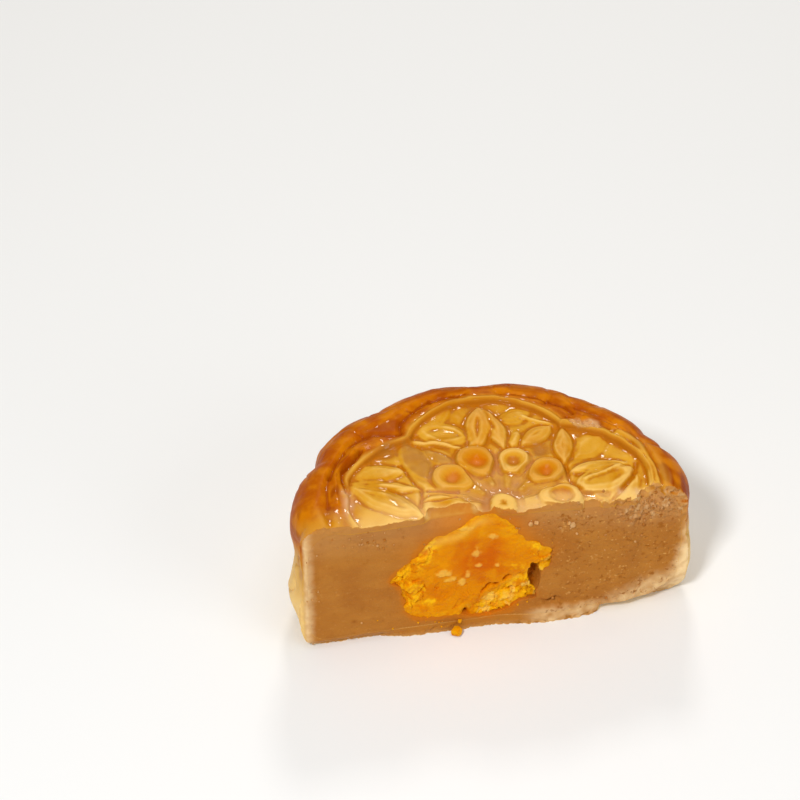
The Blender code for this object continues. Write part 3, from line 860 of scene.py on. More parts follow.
@dataclass(frozen=True)
class YolkForm:
    """The yolk before the knife: an uneven ball, and the hollow left beside it."""

    centre: Triple = (-6.4, 0.0, 16.1)
    radius: float = 12.0
    depth: float = 14.2
    lumps: tuple[Triple, ...] = (
        (6, 4.0, 17), (70, 1.5, 22), (108, -1.6, 20), (-34, 2.6, 9), (-62, 2.2, 24), (-140, 3.9, 22),
        (-179, 3.4, 12),
    )
    pocket_centre: Triple = (5.9, -1.8, 12.4)
    pocket_radii: Triple = (1.25, 2.6, 4.2)
    segments: int = 256
    rings: int = 72

    def spoke(self, angle: Array) -> Array:
        """The distance from the yolk's centre to its outline on the cut."""
        length = np.full_like(angle, self.radius)
        for at, height, spread in self.lumps:
            off = (angle - math.radians(at) + math.pi) % math.tau - math.pi
            length = length + height * bell(off, 0.0, math.radians(spread))
        return length

    def inside(self, x: Array, z: Array) -> Array:
        """How far inside the outline each place of the cut is, less than 0 outside."""
        dx, dz = x - self.centre[0], z - self.centre[2]
        return self.spoke(np.arctan2(dz, dx)) - np.hypot(dx, dz)

    def oil(self, x: Array, z: Array) -> Array:
        """How far the yolk's oil has stained what lies round it."""
        away = np.clip(-self.inside(x, z) + 0.8 * swell(on_cut(x, z), 2.6, 3.0), 0, None)
        above = ease(0.0, 9.0, z - self.centre[2]) * (1 - 0.6 * ease(6, 12, np.abs(x - self.centre[0] - 3)))
        soaked = 0.8 * np.exp(-(away / 0.9) ** 2) * (1 - ease(2.0, 5.0, x) * (1 - above))
        return np.maximum(soaked, (0.35 + 0.5 * above) * np.exp(-away / (1.3 + 3.8 * above)))

    def build(self, name: str, front: float) -> Piece:
        """Makes the lumpy ball, drawn out forwards through the cut.

        Args:
            name: The piece's name.
            front: How far along Y the cut lies before its grain.

        Returns:
            The closed ball.
        """
        release()
        bpy.ops.mesh.primitive_uv_sphere_add(
            segments=self.segments, ring_count=self.rings, radius=1, rotation=(QUARTER_TURN, 0, 0)
        )
        piece = named(name)
        x, y, z = points_of(piece).T
        angle, flat = np.arctan2(z, x), np.hypot(x, z)
        spoke = self.spoke(angle)
        back = y >= 0
        out_y = np.where(back, self.depth * y + front, front + 9 * y)
        share = np.where(back, flat, flat**0.15)
        out = np.column_stack((spoke * np.cos(angle), np.zeros_like(x), spoke * np.sin(angle)))
        turned = out * 0.19 + np.column_stack((np.zeros_like(x), 0.14 * out_y, np.zeros_like(x)))
        ragged = 1 + 0.05 * swell(turned, 1.0)
        at = np.column_stack((out[:, 0], out_y, out[:, 2]))
        ends = 0.35 + 0.65 * ease(0.5, 0.95, np.abs(np.cos(angle)))
        torn = ends * uneven(at, (0.8, 1.9, 4.0), (0.6, 0.9, 9.0))
        reach = share * (spoke * ragged + torn)
        places = np.column_stack((reach * np.cos(angle), out_y, reach * np.sin(angle)))
        places += np.array((self.centre[0], 0.0, self.centre[2]))
        move_points(piece, places)
        return piece

    def dark_patch(self, x: Array, z: Array) -> Array:
        """How much darker a patch of the cut under the yolk is painted."""
        return 0.8 * bell(x, -9.6, 3.4) * bell(z, 2.4, 1.5) * (1 + 0.5 * swell(on_cut(x, z), 1.2, 21.0))

    def pocket(self, name: str, roughness: float) -> Piece:
        """The hollow beside the yolk, with walls as rough as asked."""
        release()
        bpy.ops.mesh.primitive_ico_sphere_add(subdivisions=5, radius=1)
        piece = named(name)
        places = points_of(piece) * np.array(self.pocket_radii)
        rough = 1 + roughness * swell(places, 0.9, 5.0)
        move_points(piece, np.array(self.pocket_centre) + places * rough[:, None])
        return piece


class Recipe:
    """A material and the nodes that lead to its shader."""

    # The mix node's sockets for colours: its share, the colours under and over, and the mixed colour.
    mix_sockets = (0, 6, 7)
    mix_result = 2

    def __init__(self, name: str) -> None:
        """Starts a material with a plain shader."""
        self.material = bpy.data.materials.new(name)
        self.material.use_nodes = True
        self.tree = self.material.node_tree
        self.shader = self.tree.nodes["Principled BSDF"]
        self.place = self.tree.nodes.new("ShaderNodeTexCoord").outputs["Object"]

    def set(self, **values: float | tuple[float, ...]) -> None:
        """Sets the shader's own sockets, whose names are written with underscores."""
        for name, value in values.items():
            self.shader.inputs[name.replace("_", " ")].default_value = value

    def join(self, output: Socket, target: str) -> None:
        """Leads an output to one of the shader's sockets."""
        self.tree.links.new(output, self.shader.inputs[target])

    def _plug(self, socket: Socket, value: object) -> None:
        """Links a socket, or sets it to a plain value."""
        if isinstance(value, Socket):
            self.tree.links.new(value, socket)
        else:
            socket.default_value = value

    def share(self, name: str) -> Socket:
        """A share that was painted on the piece."""
        node = self.tree.nodes.new("ShaderNodeAttribute")
        node.attribute_name = name
        return node.outputs["Fac"]

    def cloud(self, span: float, detail: float = 3.0, stretch: Triple = (1, 1, 1)) -> Socket:
        """Cloudy noise about 0.5, with clouds of the given span in millimetres, stretched along the axes."""
        mapping = self.tree.nodes.new("ShaderNodeMapping")
        mapping.inputs["Scale"].default_value = tuple(1 / (span * METRES * s) for s in stretch)
        self.tree.links.new(self.place, mapping.inputs["Vector"])
        node = self.tree.nodes.new("ShaderNodeTexNoise")
        node.inputs["Scale"].default_value = 1.0
        node.inputs["Detail"].default_value = detail
        self.tree.links.new(mapping.outputs["Vector"], node.inputs["Vector"])
        return node.outputs["Fac"]

    def between(self, value: Socket, low: float, high: float) -> Socket:
        """0 where the value is below low, 1 above high, and smooth between; high may be the lower one."""
        node = self.tree.nodes.new("ShaderNodeMapRange")
        node.interpolation_type = "SMOOTHSTEP"
        ends = (low, high, 0.0, 1.0) if low < high else (high, low, 1.0, 0.0)
        for name, end in zip(("From Min", "From Max", "To Min", "To Max"), ends):
            node.inputs[name].default_value = end
        self.tree.links.new(value, node.inputs["Value"])
        return node.outputs["Result"]

    def times(self, a: Socket, b: Socket | float) -> Socket:
        """The product of two shares, kept between 0 and 1."""
        node = self.tree.nodes.new("ShaderNodeMath")
        node.operation = "MULTIPLY"
        node.use_clamp = True
        self._plug(node.inputs[0], a)
        self._plug(node.inputs[1], b)
        return node.outputs[0]

    def patches(
        self, low: float, high: float, span: float, detail: float = 3.0, stretch: Triple = (1, 1, 1)
    ) -> Socket:
        """Cloudy patches: 0 where the cloudy noise is below low, 1 where it is above high."""
        return self.between(self.cloud(span, detail, stretch), low, high)

    def tint(self, share: Socket, under: Socket | Tone, over: Socket | Tone) -> Socket:
        """Lays one colour over another by a share."""
        node = self.tree.nodes.new("ShaderNodeMix")
        node.data_type = "RGBA"
        for place, value in zip(self.mix_sockets, (share, under, over)):
            self._plug(node.inputs[place], value)
        return node.outputs[self.mix_result]

    def layered(self, under: Socket | Tone, finish: object, *names: str) -> Socket:
        """Lays a finish's colours over one another, each by the painted share of the same name."""
        for name in names:
            under = self.tint(self.share(name), under, getattr(finish, name))
        return under

    def relief(self, *layers: Triple) -> None:
        """Gives the surface fine relief in layers, each a span, a detail and a depth, in millimetres."""
        below = None
        for span, detail, depth in layers:
            node = self.tree.nodes.new("ShaderNodeBump")
            node.inputs["Distance"].default_value = depth * METRES
            self.tree.links.new(self.cloud(span, detail), node.inputs["Height"])
            if below is not None:
                self.tree.links.new(below, node.inputs["Normal"])
            below = node.outputs["Normal"]
        self.join(below, "Normal")


def colour(red: int, green: int, blue: int) -> Tone:
    """A colour as a painter names it, 0 to 255, for a shader."""
    shares = [value / 255 for value in (red, green, blue)]
    linear = [s / 12.92 if s <= 0.04045 else ((s + 0.055) / 1.055) ** 2.4 for s in shares]
    return (*linear, 1.0)


@dataclass(frozen=True)
class GlazedPastry:
    """Egg-glazed baked dough: golden, paler on ridges with some painted sheen, amber where glaze gathers in
    hollows with some painted shade, brown at the rim.
    """

    golden: Tone = colour(214, 156, 42)
    honey: Tone = colour(202, 136, 16)
    # paler glaze on ridges and raised pads, partly a painted sheen
    crest: Tone = colour(231, 184, 94)
    # amber glaze gathered in hollows, laid also as painted shade in creases and pits
    pooled_and_shaded: Tone = colour(182, 108, 6)
    browned: Tone = colour(206, 108, 0)
    amber: Tone = colour(204, 120, 4)
    shine: Triple = (1.0, 0.78, 0.45)
    crust: Tone = colour(174, 82, 0)
    # dark streaks round the rim, laid also as painted shade in its hollows
    scorched_and_shaded: Tone = colour(148, 60, 0)
    # browned spots at the foot of the cut, a darker patch under the yolk, and painted shade beneath the
    # arches' ridge
    toasted_and_shaded: Tone = colour(160, 100, 18)
    thin: Tone = colour(176, 118, 50)
    milky: Tone = colour(212, 164, 122)
    foot: Tone = colour(250, 210, 134)
    cut: Tone = colour(182, 118, 44)
    cream: Tone = colour(247, 214, 160)
    oiled: Tone = colour(200, 112, 4)

    def material(self) -> bpy.types.Material:
        """Mixes the finish."""
        recipe = Recipe("glazed_pastry")
        body = recipe.tint(recipe.patches(0.40, 0.62, 7.0), self.golden, self.honey)
        body = recipe.layered(body, self, "crest", "pooled_and_shaded", "browned")
        body = recipe.tint(recipe.times(recipe.share("thin"), 0.8), body, self.thin)
        body = recipe.layered(body, self, "milky")
        rim = recipe.tint(recipe.patches(0.34, 0.62, 5.0, 4.0), self.crust, self.amber)
        rim = recipe.layered(rim, self, "scorched_and_shaded")
        body = recipe.tint(recipe.share("baked"), body, rim)
        body = recipe.layered(body, self, "foot")
        clouded = recipe.times(recipe.patches(0.44, 0.66, 2.2, 4.0), 0.3)
        inner = recipe.tint(recipe.share("creamy"), self.cut, recipe.tint(clouded, self.cream, self.cut))
        inner = recipe.layered(inner, self, "oiled")
        body = recipe.tint(recipe.share("cut"), body, inner)
        recipe.join(recipe.layered(body, self, "toasted_and_shaded"), "Base Color")
        gleam = recipe.patches(0.50, 0.54, 1.4)
        recipe.join(recipe.times(recipe.share("wet"), gleam), "Coat Weight")
        recipe.relief((1.3, 4.0, 0.11), (0.45, 3.0, 0.05))
        recipe.set(Roughness=0.4, Coat_Roughness=0.07, Coat_IOR=1.5)
        recipe.set(Specular_IOR_Level=0.1, IOR=1.35, Specular_Tint=(*self.shine, 1.0))
        recipe.set(Subsurface_Weight=0.06, Subsurface_Scale=0.002, Subsurface_Radius=(1.0, 0.6, 0.2))
        return recipe.material


@dataclass(frozen=True)
class CutPaste:
    """Lotus seed paste as the knife leaves it: tan, faintly streaked, with pale specks, and dark holes and
    pores of painted shade.
    """

    tan: Tone = colour(176, 113, 42)
    lighter: Tone = colour(182, 119, 46)
    darker: Tone = colour(170, 106, 38)
    # painted shade for holes, pores and the nest and pocket behind the cut; also the darker patch under the
    # yolk
    hollow: Tone = colour(154, 90, 22)
    oiled: Tone = colour(200, 112, 4)
    speck: Tone = colour(206, 150, 78)
    cream: Tone = colour(247, 214, 160)

    def material(self) -> bpy.types.Material:
        """Mixes the finish."""
        recipe = Recipe("cut_paste")
        body = recipe.tint(recipe.patches(0.34, 0.68, 3.0, 4.0, (2.0, 1, 0.8)), self.tan, self.lighter)
        body = recipe.tint(recipe.patches(0.40, 0.66, 9.0), body, self.darker)
        body = recipe.tint(recipe.share("creamy"), body, self.cream)
        body = recipe.layered(body, self, "hollow")
        lit = recipe.times(recipe.patches(0.60, 0.72, 0.8), recipe.share("grainy"))
        body = recipe.tint(recipe.times(lit, 0.85), body, self.speck)
        # dark pores of painted shade
        pore_shade = recipe.times(recipe.patches(0.43, 0.33, 1.3, 4.0), recipe.share("grainy"))
        body = recipe.tint(recipe.times(pore_shade, 0.8), body, self.hollow)
        recipe.join(recipe.layered(body, self, "oiled"), "Base Color")
        recipe.relief((0.5, 4.0, 0.11), (0.22, 2.0, 0.05))
        recipe.set(Roughness=0.6, Specular_IOR_Level=0.2, IOR=1.3)
        recipe.set(Subsurface_Weight=0.08, Subsurface_Scale=0.001, Subsurface_Radius=(1.0, 0.6, 0.25))
        return recipe.material


@dataclass(frozen=True)
class CutYolk:
    """Salted egg yolk: deep orange and oily in the middle, crumbly and yellow at its edges."""

    orange: Tone = colour(222, 136, 0)
    # the oily middle's deep orange, laid also as painted shade in the creases
    deep: Tone = colour(204, 98, 0)
    yellow: Tone = colour(244, 182, 14)
    # pale crumbs, and painted highlights along the top and on some spots
    pale: Tone = colour(242, 194, 84)
    shaded: Tone = colour(168, 92, 10)

    def material(self) -> bpy.types.Material:
        """Mixes the finish."""
        recipe = Recipe("cut_yolk")
        body = recipe.layered(self.orange, self, "deep")
        mottled = recipe.times(recipe.patches(0.46, 0.66, 2.4, 4.0), 0.2)
        body = recipe.tint(mottled, body, self.yellow)
        veins = recipe.times(recipe.patches(0.48, 0.34, 3.2, 4.0), 0.25)
        body = recipe.tint(veins, body, self.deep)
        clumps = recipe.times(recipe.patches(0.34, 0.60, 1.6), recipe.share("yellow"))
        body = recipe.tint(clumps, body, self.yellow)
        recipe.join(recipe.layered(body, self, "pale", "shaded"), "Base Color")
        recipe.relief((0.7, 4.0, 0.16), (0.25, 2.0, 0.06))
        recipe.set(Roughness=0.42, Specular_IOR_Level=0.1, IOR=1.3)
        recipe.set(Subsurface_Weight=0.10, Subsurface_Scale=0.0015, Subsurface_Radius=(1.0, 0.6, 0.1))
        return recipe.material


@dataclass
class PastrySkin:
    """The baked skin: lobed wall, wrinkled shoulder and pressed top, hollowed for the paste."""

    form: CakeForm
    flower: PressedFlower
    cut: KnifeCut
    core: PasteCore
    yolk: YolkForm
    finish: GlazedPastry = field(default_factory=GlazedPastry)
    steps: int = 600
    top_spacing: float = 0.2
    middle_spacing: float = 0.4
    wall_spacing: float = 0.5
    wrinkle: float = 0.42
    middle: float = 4.0
    base_rings: Pair = (14.0, 26.0)
    foot_steps: int = 12
    shoulder_steps: int = 24
    rough_cut: float = -6.0
    cut_spacing: float = 0.3

    def outline(self) -> list[Pair]:
        """Radius and height from the middle of the underside, up the wall, to the middle of the top."""
        form = self.form
        rows = [(radius, 0.0) for radius in (0.0, *self.base_rings, form.radius - form.foot_radius)]
        for turn in np.linspace(0, QUARTER_TURN, self.foot_steps + 1)[1:]:
            inset = form.foot_radius * (1 - math.sin(turn))
            rows.append((form.radius - inset, form.foot_radius * (1 - math.cos(turn))))
        count = round((form.shoulder_foot - form.foot_radius) / self.wall_spacing)
        rows += [(form.radius, z) for z in np.linspace(form.foot_radius, form.shoulder_foot, count + 1)[1:]]
        for turn in np.linspace(0, QUARTER_TURN, self.shoulder_steps + 1)[1:]:
            inset = form.shoulder_width * (1 - math.cos(turn))
            rows.append((form.radius - inset, form.shoulder_foot + form.shoulder_drop * math.sin(turn)))
        edge, middle = form.radius - form.shoulder_width, self.middle
        for outer, inner, spacing in ((edge, middle, self.top_spacing), (middle, 0, self.middle_spacing)):
            count = round((outer - inner) / spacing)
            rows += [(radius, form.height) for radius in np.linspace(outer, inner, count + 1)[1:]]
        return [(float(radius), float(z)) for radius, z in rows]

    def wrinkles(self, places: Array) -> Array:
        """Fine creases and soft lumps of the baked dough, as a distance outwards."""
        bent = places + 2.0 * swell(places, 7.0, 11.0)[:, None]
        crossing = swell(bent, (7.5, 7.5, 4.5), 6.0)
        some = ease(-0.15, 0.35, swell(places, 13.0, 8.0))
        crease = -bell(crossing, 0.0, 0.07) * some
        brushed = 0.14 * self.streaks(places) * ease(self.form.shoulder_foot, self.form.height, places[:, 2])
        soft = 0.22 * fade(16, 24, places[:, 2]) * swell(places, 2.8, 27.0)
        lumps = uneven(places, (0.22, 4.2, 1.5), (0.09, 1.6, 2.5))
        return self.wrinkle * crease + lumps + brushed + soft

    def streaks(self, places: Array) -> Array:
        """Streaks that run round the rim, about -1 to 1."""
        x, y, z = places.T
        unrolled = np.column_stack((self.form.radius * np.arctan2(x, y), 4 * np.hypot(x, y), 4 * z))
        return swell(unrolled, 8.0, 61.0) + 0.5 * swell(unrolled, 3.5, 67.0)

    def slumped(self, places: Array) -> Array:
        """How far along X the wall has slumped beside the cut: a waist and a bulge on each side."""
        x, y, z = places.T
        right = ease(28, 33, x) * fade(6, 16, y)
        left = ease(28, 33, -x) * fade(14, 24, y)
        shift = 0.4 * bell(z, 9.5, 4.0) - 0.8 * bell(z, 20.5, 5.0) - 0.5 * bell(z, 31.0, 4.0)
        return right * shift + left * (0.8 * bell(z, 17.0, 4.5) - 0.9 * bell(z, 8.0, 3.5))

    def shape(self, piece: Piece) -> None:
        """Moves the lathe's plain points to the lobes, the pressed flower and the wrinkles."""
        form = self.form
        x, y, z = points_of(piece).T
        turn, inset = np.arctan2(y, x), form.radius - np.hypot(x, y)
        places = form.outside(turn, inset, z, form.crease_share(inset, z))
        on_top = (z > form.shoulder_foot) * ease(2.5, 6.4, inset)
        level = places * np.array((1.0, 1.0, 0.0))
        plain_x, plain_y = self.flower.kneaded(level[:, 0], level[:, 1])
        beyond = self.flower.beyond_arch(plain_x, plain_y) + 0.35 * swell(level, 6.0, 14.0)
        arch = contour(beyond, self.flower.arch) * (1 - 0.3 * swell(level, 7.0, 25.0))
        worn = fade(-20, -8, plain_x) * ease(-0.9, -0.2, beyond)
        arch = arch - (arch + 0.35) * 0.8 * worn
        arch = arch - 0.5 * bell(beyond, 0.0, 0.9) * fade(4, 11, plain_y) * ease(20, 24, -plain_x)
        pressed = soft_max(self.flower.relief(plain_x, plain_y), arch, 0.4)
        rim = -0.30 * ease(4.6, 6.4, inset)
        top = pressed + (rim - pressed) * ease(1.9, 3.4, beyond)
        for fold in self.flower.folds:
            top = top + fold.trace(plain_x, plain_y)
        top = top + uneven(level, (0.12, 5.0, 2.0), (0.10, 2.3, 6.0), (0.04, 1.1, 8.0))
        torn = self.flower.torn_share(level[:, 0], level[:, 1]) * (on_top > 0)
        bare = torn > 0
        rim_of, number, slope = grains(level[bare], 1.0, 2.0)
        top[bare] += torn[bare] * (0.5 * number + 0.5 * slope - 0.3 * fade(0.0, 0.3, rim_of) - 0.15)
        rough = self.wrinkles(places)
        outer = ease(4.6, 9.0, z) * (1 - ease(6.0, 9.0, inset) * (z > form.shoulder_foot))
        radial = np.column_stack((np.cos(turn), np.sin(turn), np.zeros_like(turn)))
        up = ease(form.shoulder_foot, form.height, z) * on_top
        places = places + radial * (rough * outer * (1 - up))[:, None]
        places[:, 2] += top * on_top + rough * outer * up
        places[:, 0] += self.slumped(places)
        move_points(piece, places)

    def cut_share(self, x: Array, y: Array, ways: Array) -> Array:
        """1 where a point lies on the knife's cut."""
        return ease(0.55, 0.85, -ways[:, 1]) * (y < 2.4) * (np.abs(ways[:, 2]) < 0.75)

    def dress(self, piece: Piece) -> None:
        """Paints where the dough is baked, browned, thin, raised, glazed in hollows, wet or pale, with
        painted sheen on ridges and painted shade in creases, hollows and beneath the arches' ridge.
        """
        form, flower = self.form, self.flower
        places, ways = points_of(piece), normals_of(piece)
        x, y, z = places.T
        radius = np.hypot(x - form.outline_shift, y / form.outline_squash)
        lumps = swell(places, 5.5, 3.0)
        cut = self.cut_share(x, y, ways)
        top = ease(form.height - 5.2, form.height - 2.8, z) * (ways[:, 2] > -0.2) * (1 - cut)
        plain_x, plain_y = flower.kneaded(x, y)
        beyond = flower.beyond_arch(plain_x, plain_y)
        near, wide = hollowness(piece, NEAR_ROUNDS), hollowness(piece, WIDE_ROUNDS)
        late = 2.2 * ease(14, 24, x) * fade(12, 20, y)
        band = top * ease(-0.4, 1.3, beyond + 0.6 * lumps - late)
        band = band * (1 - 0.7 * fade(0.5, 5.0, y + lumps) * ease(30, 32, -x))
        edge = ease(0.80, 0.93, radius / form.radius)
        shoulder = ease(form.shoulder_foot - 7 + 4 * lumps, form.shoulder_foot, z) * edge
        shoulder = shoulder * (1 - 0.6 * fade(0.0, 3.0, y + lumps) * (x < 0) * top)
        paint(piece, "baked", np.maximum(band, shoulder))
        rising = ease(form.shoulder_foot - 2, form.height - 2, z)
        parts = 0.5 + 0.5 * ease(-0.2, 0.4, swell(places, 12.0, 63.0))
        streaked = parts * ease(-0.1, 0.4, self.streaks(places)) * ease(27.0, 32.0, radius)
        # scorched streaks round the rim, and painted shade in the hollows of its upper part
        paint(piece, "scorched_and_shaded", rising * np.maximum(streaked, 0.8 * ease(0.05, 0.3, wide)))
        # browned spots at the foot of the cut and a darker patch under the yolk
        toasted_and_shaded = window(x, 1, 4, 19, 22) * ease(0.0, 0.3, swell(places, 1.2, 51.0))
        toasted_and_shaded = 0.8 * fade(0.4, 1.3, z) * toasted_and_shaded * (y < 6) + 0.5 * self.yolk.dark_patch(x, z) * cut
        # a browned band on the arches' inner walls at the back, darkened as painted shade beneath their ridge
        ridge_browning_and_shade = 0.65 * top * bell(beyond, -0.8, 0.5) * ease(3, 12, y)
        paint(piece, "toasted_and_shaded", np.maximum(toasted_and_shaded, ridge_browning_and_shade))
        paint(piece, "thin", top * flower.thinness(plain_x, plain_y) * (0.9 + 0.5 * swell(places, 1.7, 33.0)))
        low = 0.25 * ease(0.8, 1.9, form.height - z + 0.4 * swell(places, 2.6, 41.0)) * top * (beyond < 0.5)
        # glaze gathered in creases, hollows, low places and pits, darker also as painted shade there
        pooled_and_shaded = 0.7 * ease(0.01, 0.09, near) + 0.7 * ease(0.0, 0.30, wide) + low
        for px, py, reach, depth in flower.pits:
            pooled_and_shaded = pooled_and_shaded + 0.9 * depth * spot(plain_x - px, plain_y - py, 1.2 * reach) * top
        paint(piece, "pooled_and_shaded", pooled_and_shaded * (1 - cut))
        # paler on ridges and raised pads, partly a painted sheen
        raised = 0.5 * ease(0.02, 0.14, -near) + 0.9 * ease(0.02, 0.32, -wide)
        browned = top * flower.browning(plain_x, plain_y)
        paint(piece, "browned", browned)
        raised = raised * (1 - 0.75 * ease(-1.0, -0.1, beyond)) * (1 - 0.7 * ease(0.0, 0.3, browned))
        paint(piece, "crest", raised * top)
        powdery = 2.2 + 4.5 * window(x, -30, -25, -16, -10)
        pale = 0.4 * top * fade(0.0, powdery, y + 0.8 * lumps)
        pale = pale * fade(28, 32, np.abs(x)) * ease(3.0, 4.0, radius)
        floury = fade(9.0, 22.0, z + 3.5 * lumps) * (0.85 + 0.35 * swell(places, (2.6, 2.6, 4.0), 77.0))
        paint(piece, "foot", np.maximum(floury, pale))
        torn = flower.torn_share(x, y) * top
        paint(piece, "cut", np.maximum(cut, 0.75 * torn))
        paint(piece, "creamy", np.maximum(self.cut.creaminess(x, z) * cut, 0.45 * torn))
        paint(piece, "oiled", self.yolk.oil(x, z) * cut)
        dry = (1 - flower.hearts(plain_x, plain_y)) * (0.3 + 0.7 * ease(3.5, 5.5, radius))
        dry = dry * (1 - 0.7 * bell(beyond, -0.8, 0.6)) * (1 - 0.5 * band)
        milky = np.maximum(flower.milkiness(plain_x, plain_y), 1.2 * low * fade(13, 18, radius)) * top
        paint(piece, "milky", milky)
        wet = np.maximum(ease(0.01, 0.05, near), 0.7 * ease(0.05, 0.2, wide)) * dry
        for px, py, reach, _ in flower.pits:
            wet = np.maximum(wet, spot(plain_x - px, plain_y - py, 1.3 * reach))
        paint(piece, "wet", top * np.maximum(wet, milky))

    def cut_form(self) -> Piece:
        """Makes the skin and cuts it."""
        piece = lathe("baked_skin", self.outline(), self.steps)
        halve(piece, self.rough_cut)
        self.shape(piece)
        carve(piece, blade("skin_knife", self.cut.skin, CUT_BOX, self.cut_spacing))
        carve(piece, self.core.build("skin_hollow", 0.0))
        return cleared(piece)


@dataclass
class LotusPaste:
    """The lotus seed paste, with the yolk's nest and the hollow beside it."""

    cut: KnifeCut
    core: PasteCore
    yolk: YolkForm
    finish: CutPaste = field(default_factory=CutPaste)
    overlap: float = 0.05
    cut_spacing: float = 0.22
    pocket_roughness: float = 0.06
    # spots of painted shade standing for small holes, each an x, a z and a reach
    holes: tuple[Triple, ...] = ((-29.4, 6.2, 0.5), (14.2, 20.4, 0.4), (27.6, 14.2, 0.45), (21.0, 9.0, 0.35))

    def dress(self, piece: Piece) -> None:
        """Paints where the paste is oiled by the yolk, grainy or creamy, and the hollow share: painted shade
        in its listed holes and behind the cut, and a darker patch under the yolk.
        """
        x, y, z = points_of(piece).T
        paint(piece, "oiled", self.yolk.oil(x, z))
        paint(piece, "grainy", 0.25 + 0.75 * ease(2, 14, x))
        holes = np.max([spot(x - hx, z - hz, reach) for hx, hz, reach in self.holes], axis=0)
        # painted shade in the listed holes and, deeper than the cut, in the nest and pocket; a darker patch
        # under the yolk
        stained = np.maximum(self.yolk.dark_patch(x, z), 0.9 * holes)
        paint(piece, "hollow", np.maximum(stained, ease(0.5, 1.4, y - self.cut.plane(x, z))))
        paint(piece, "creamy", self.cut.creaminess(x, z))

    def cut_form(self) -> Piece:
        """Makes the paste and cuts it."""
        piece = self.core.build("cut_lotus_paste", -self.overlap)
        carve(piece, blade("paste_knife", self.cut.paste, CUT_BOX, self.cut_spacing))
        carve(piece, self.yolk.build("nest", -self.cut.front))
        carve(piece, self.yolk.pocket("paste_pocket", self.pocket_roughness))
        return cleared(piece)


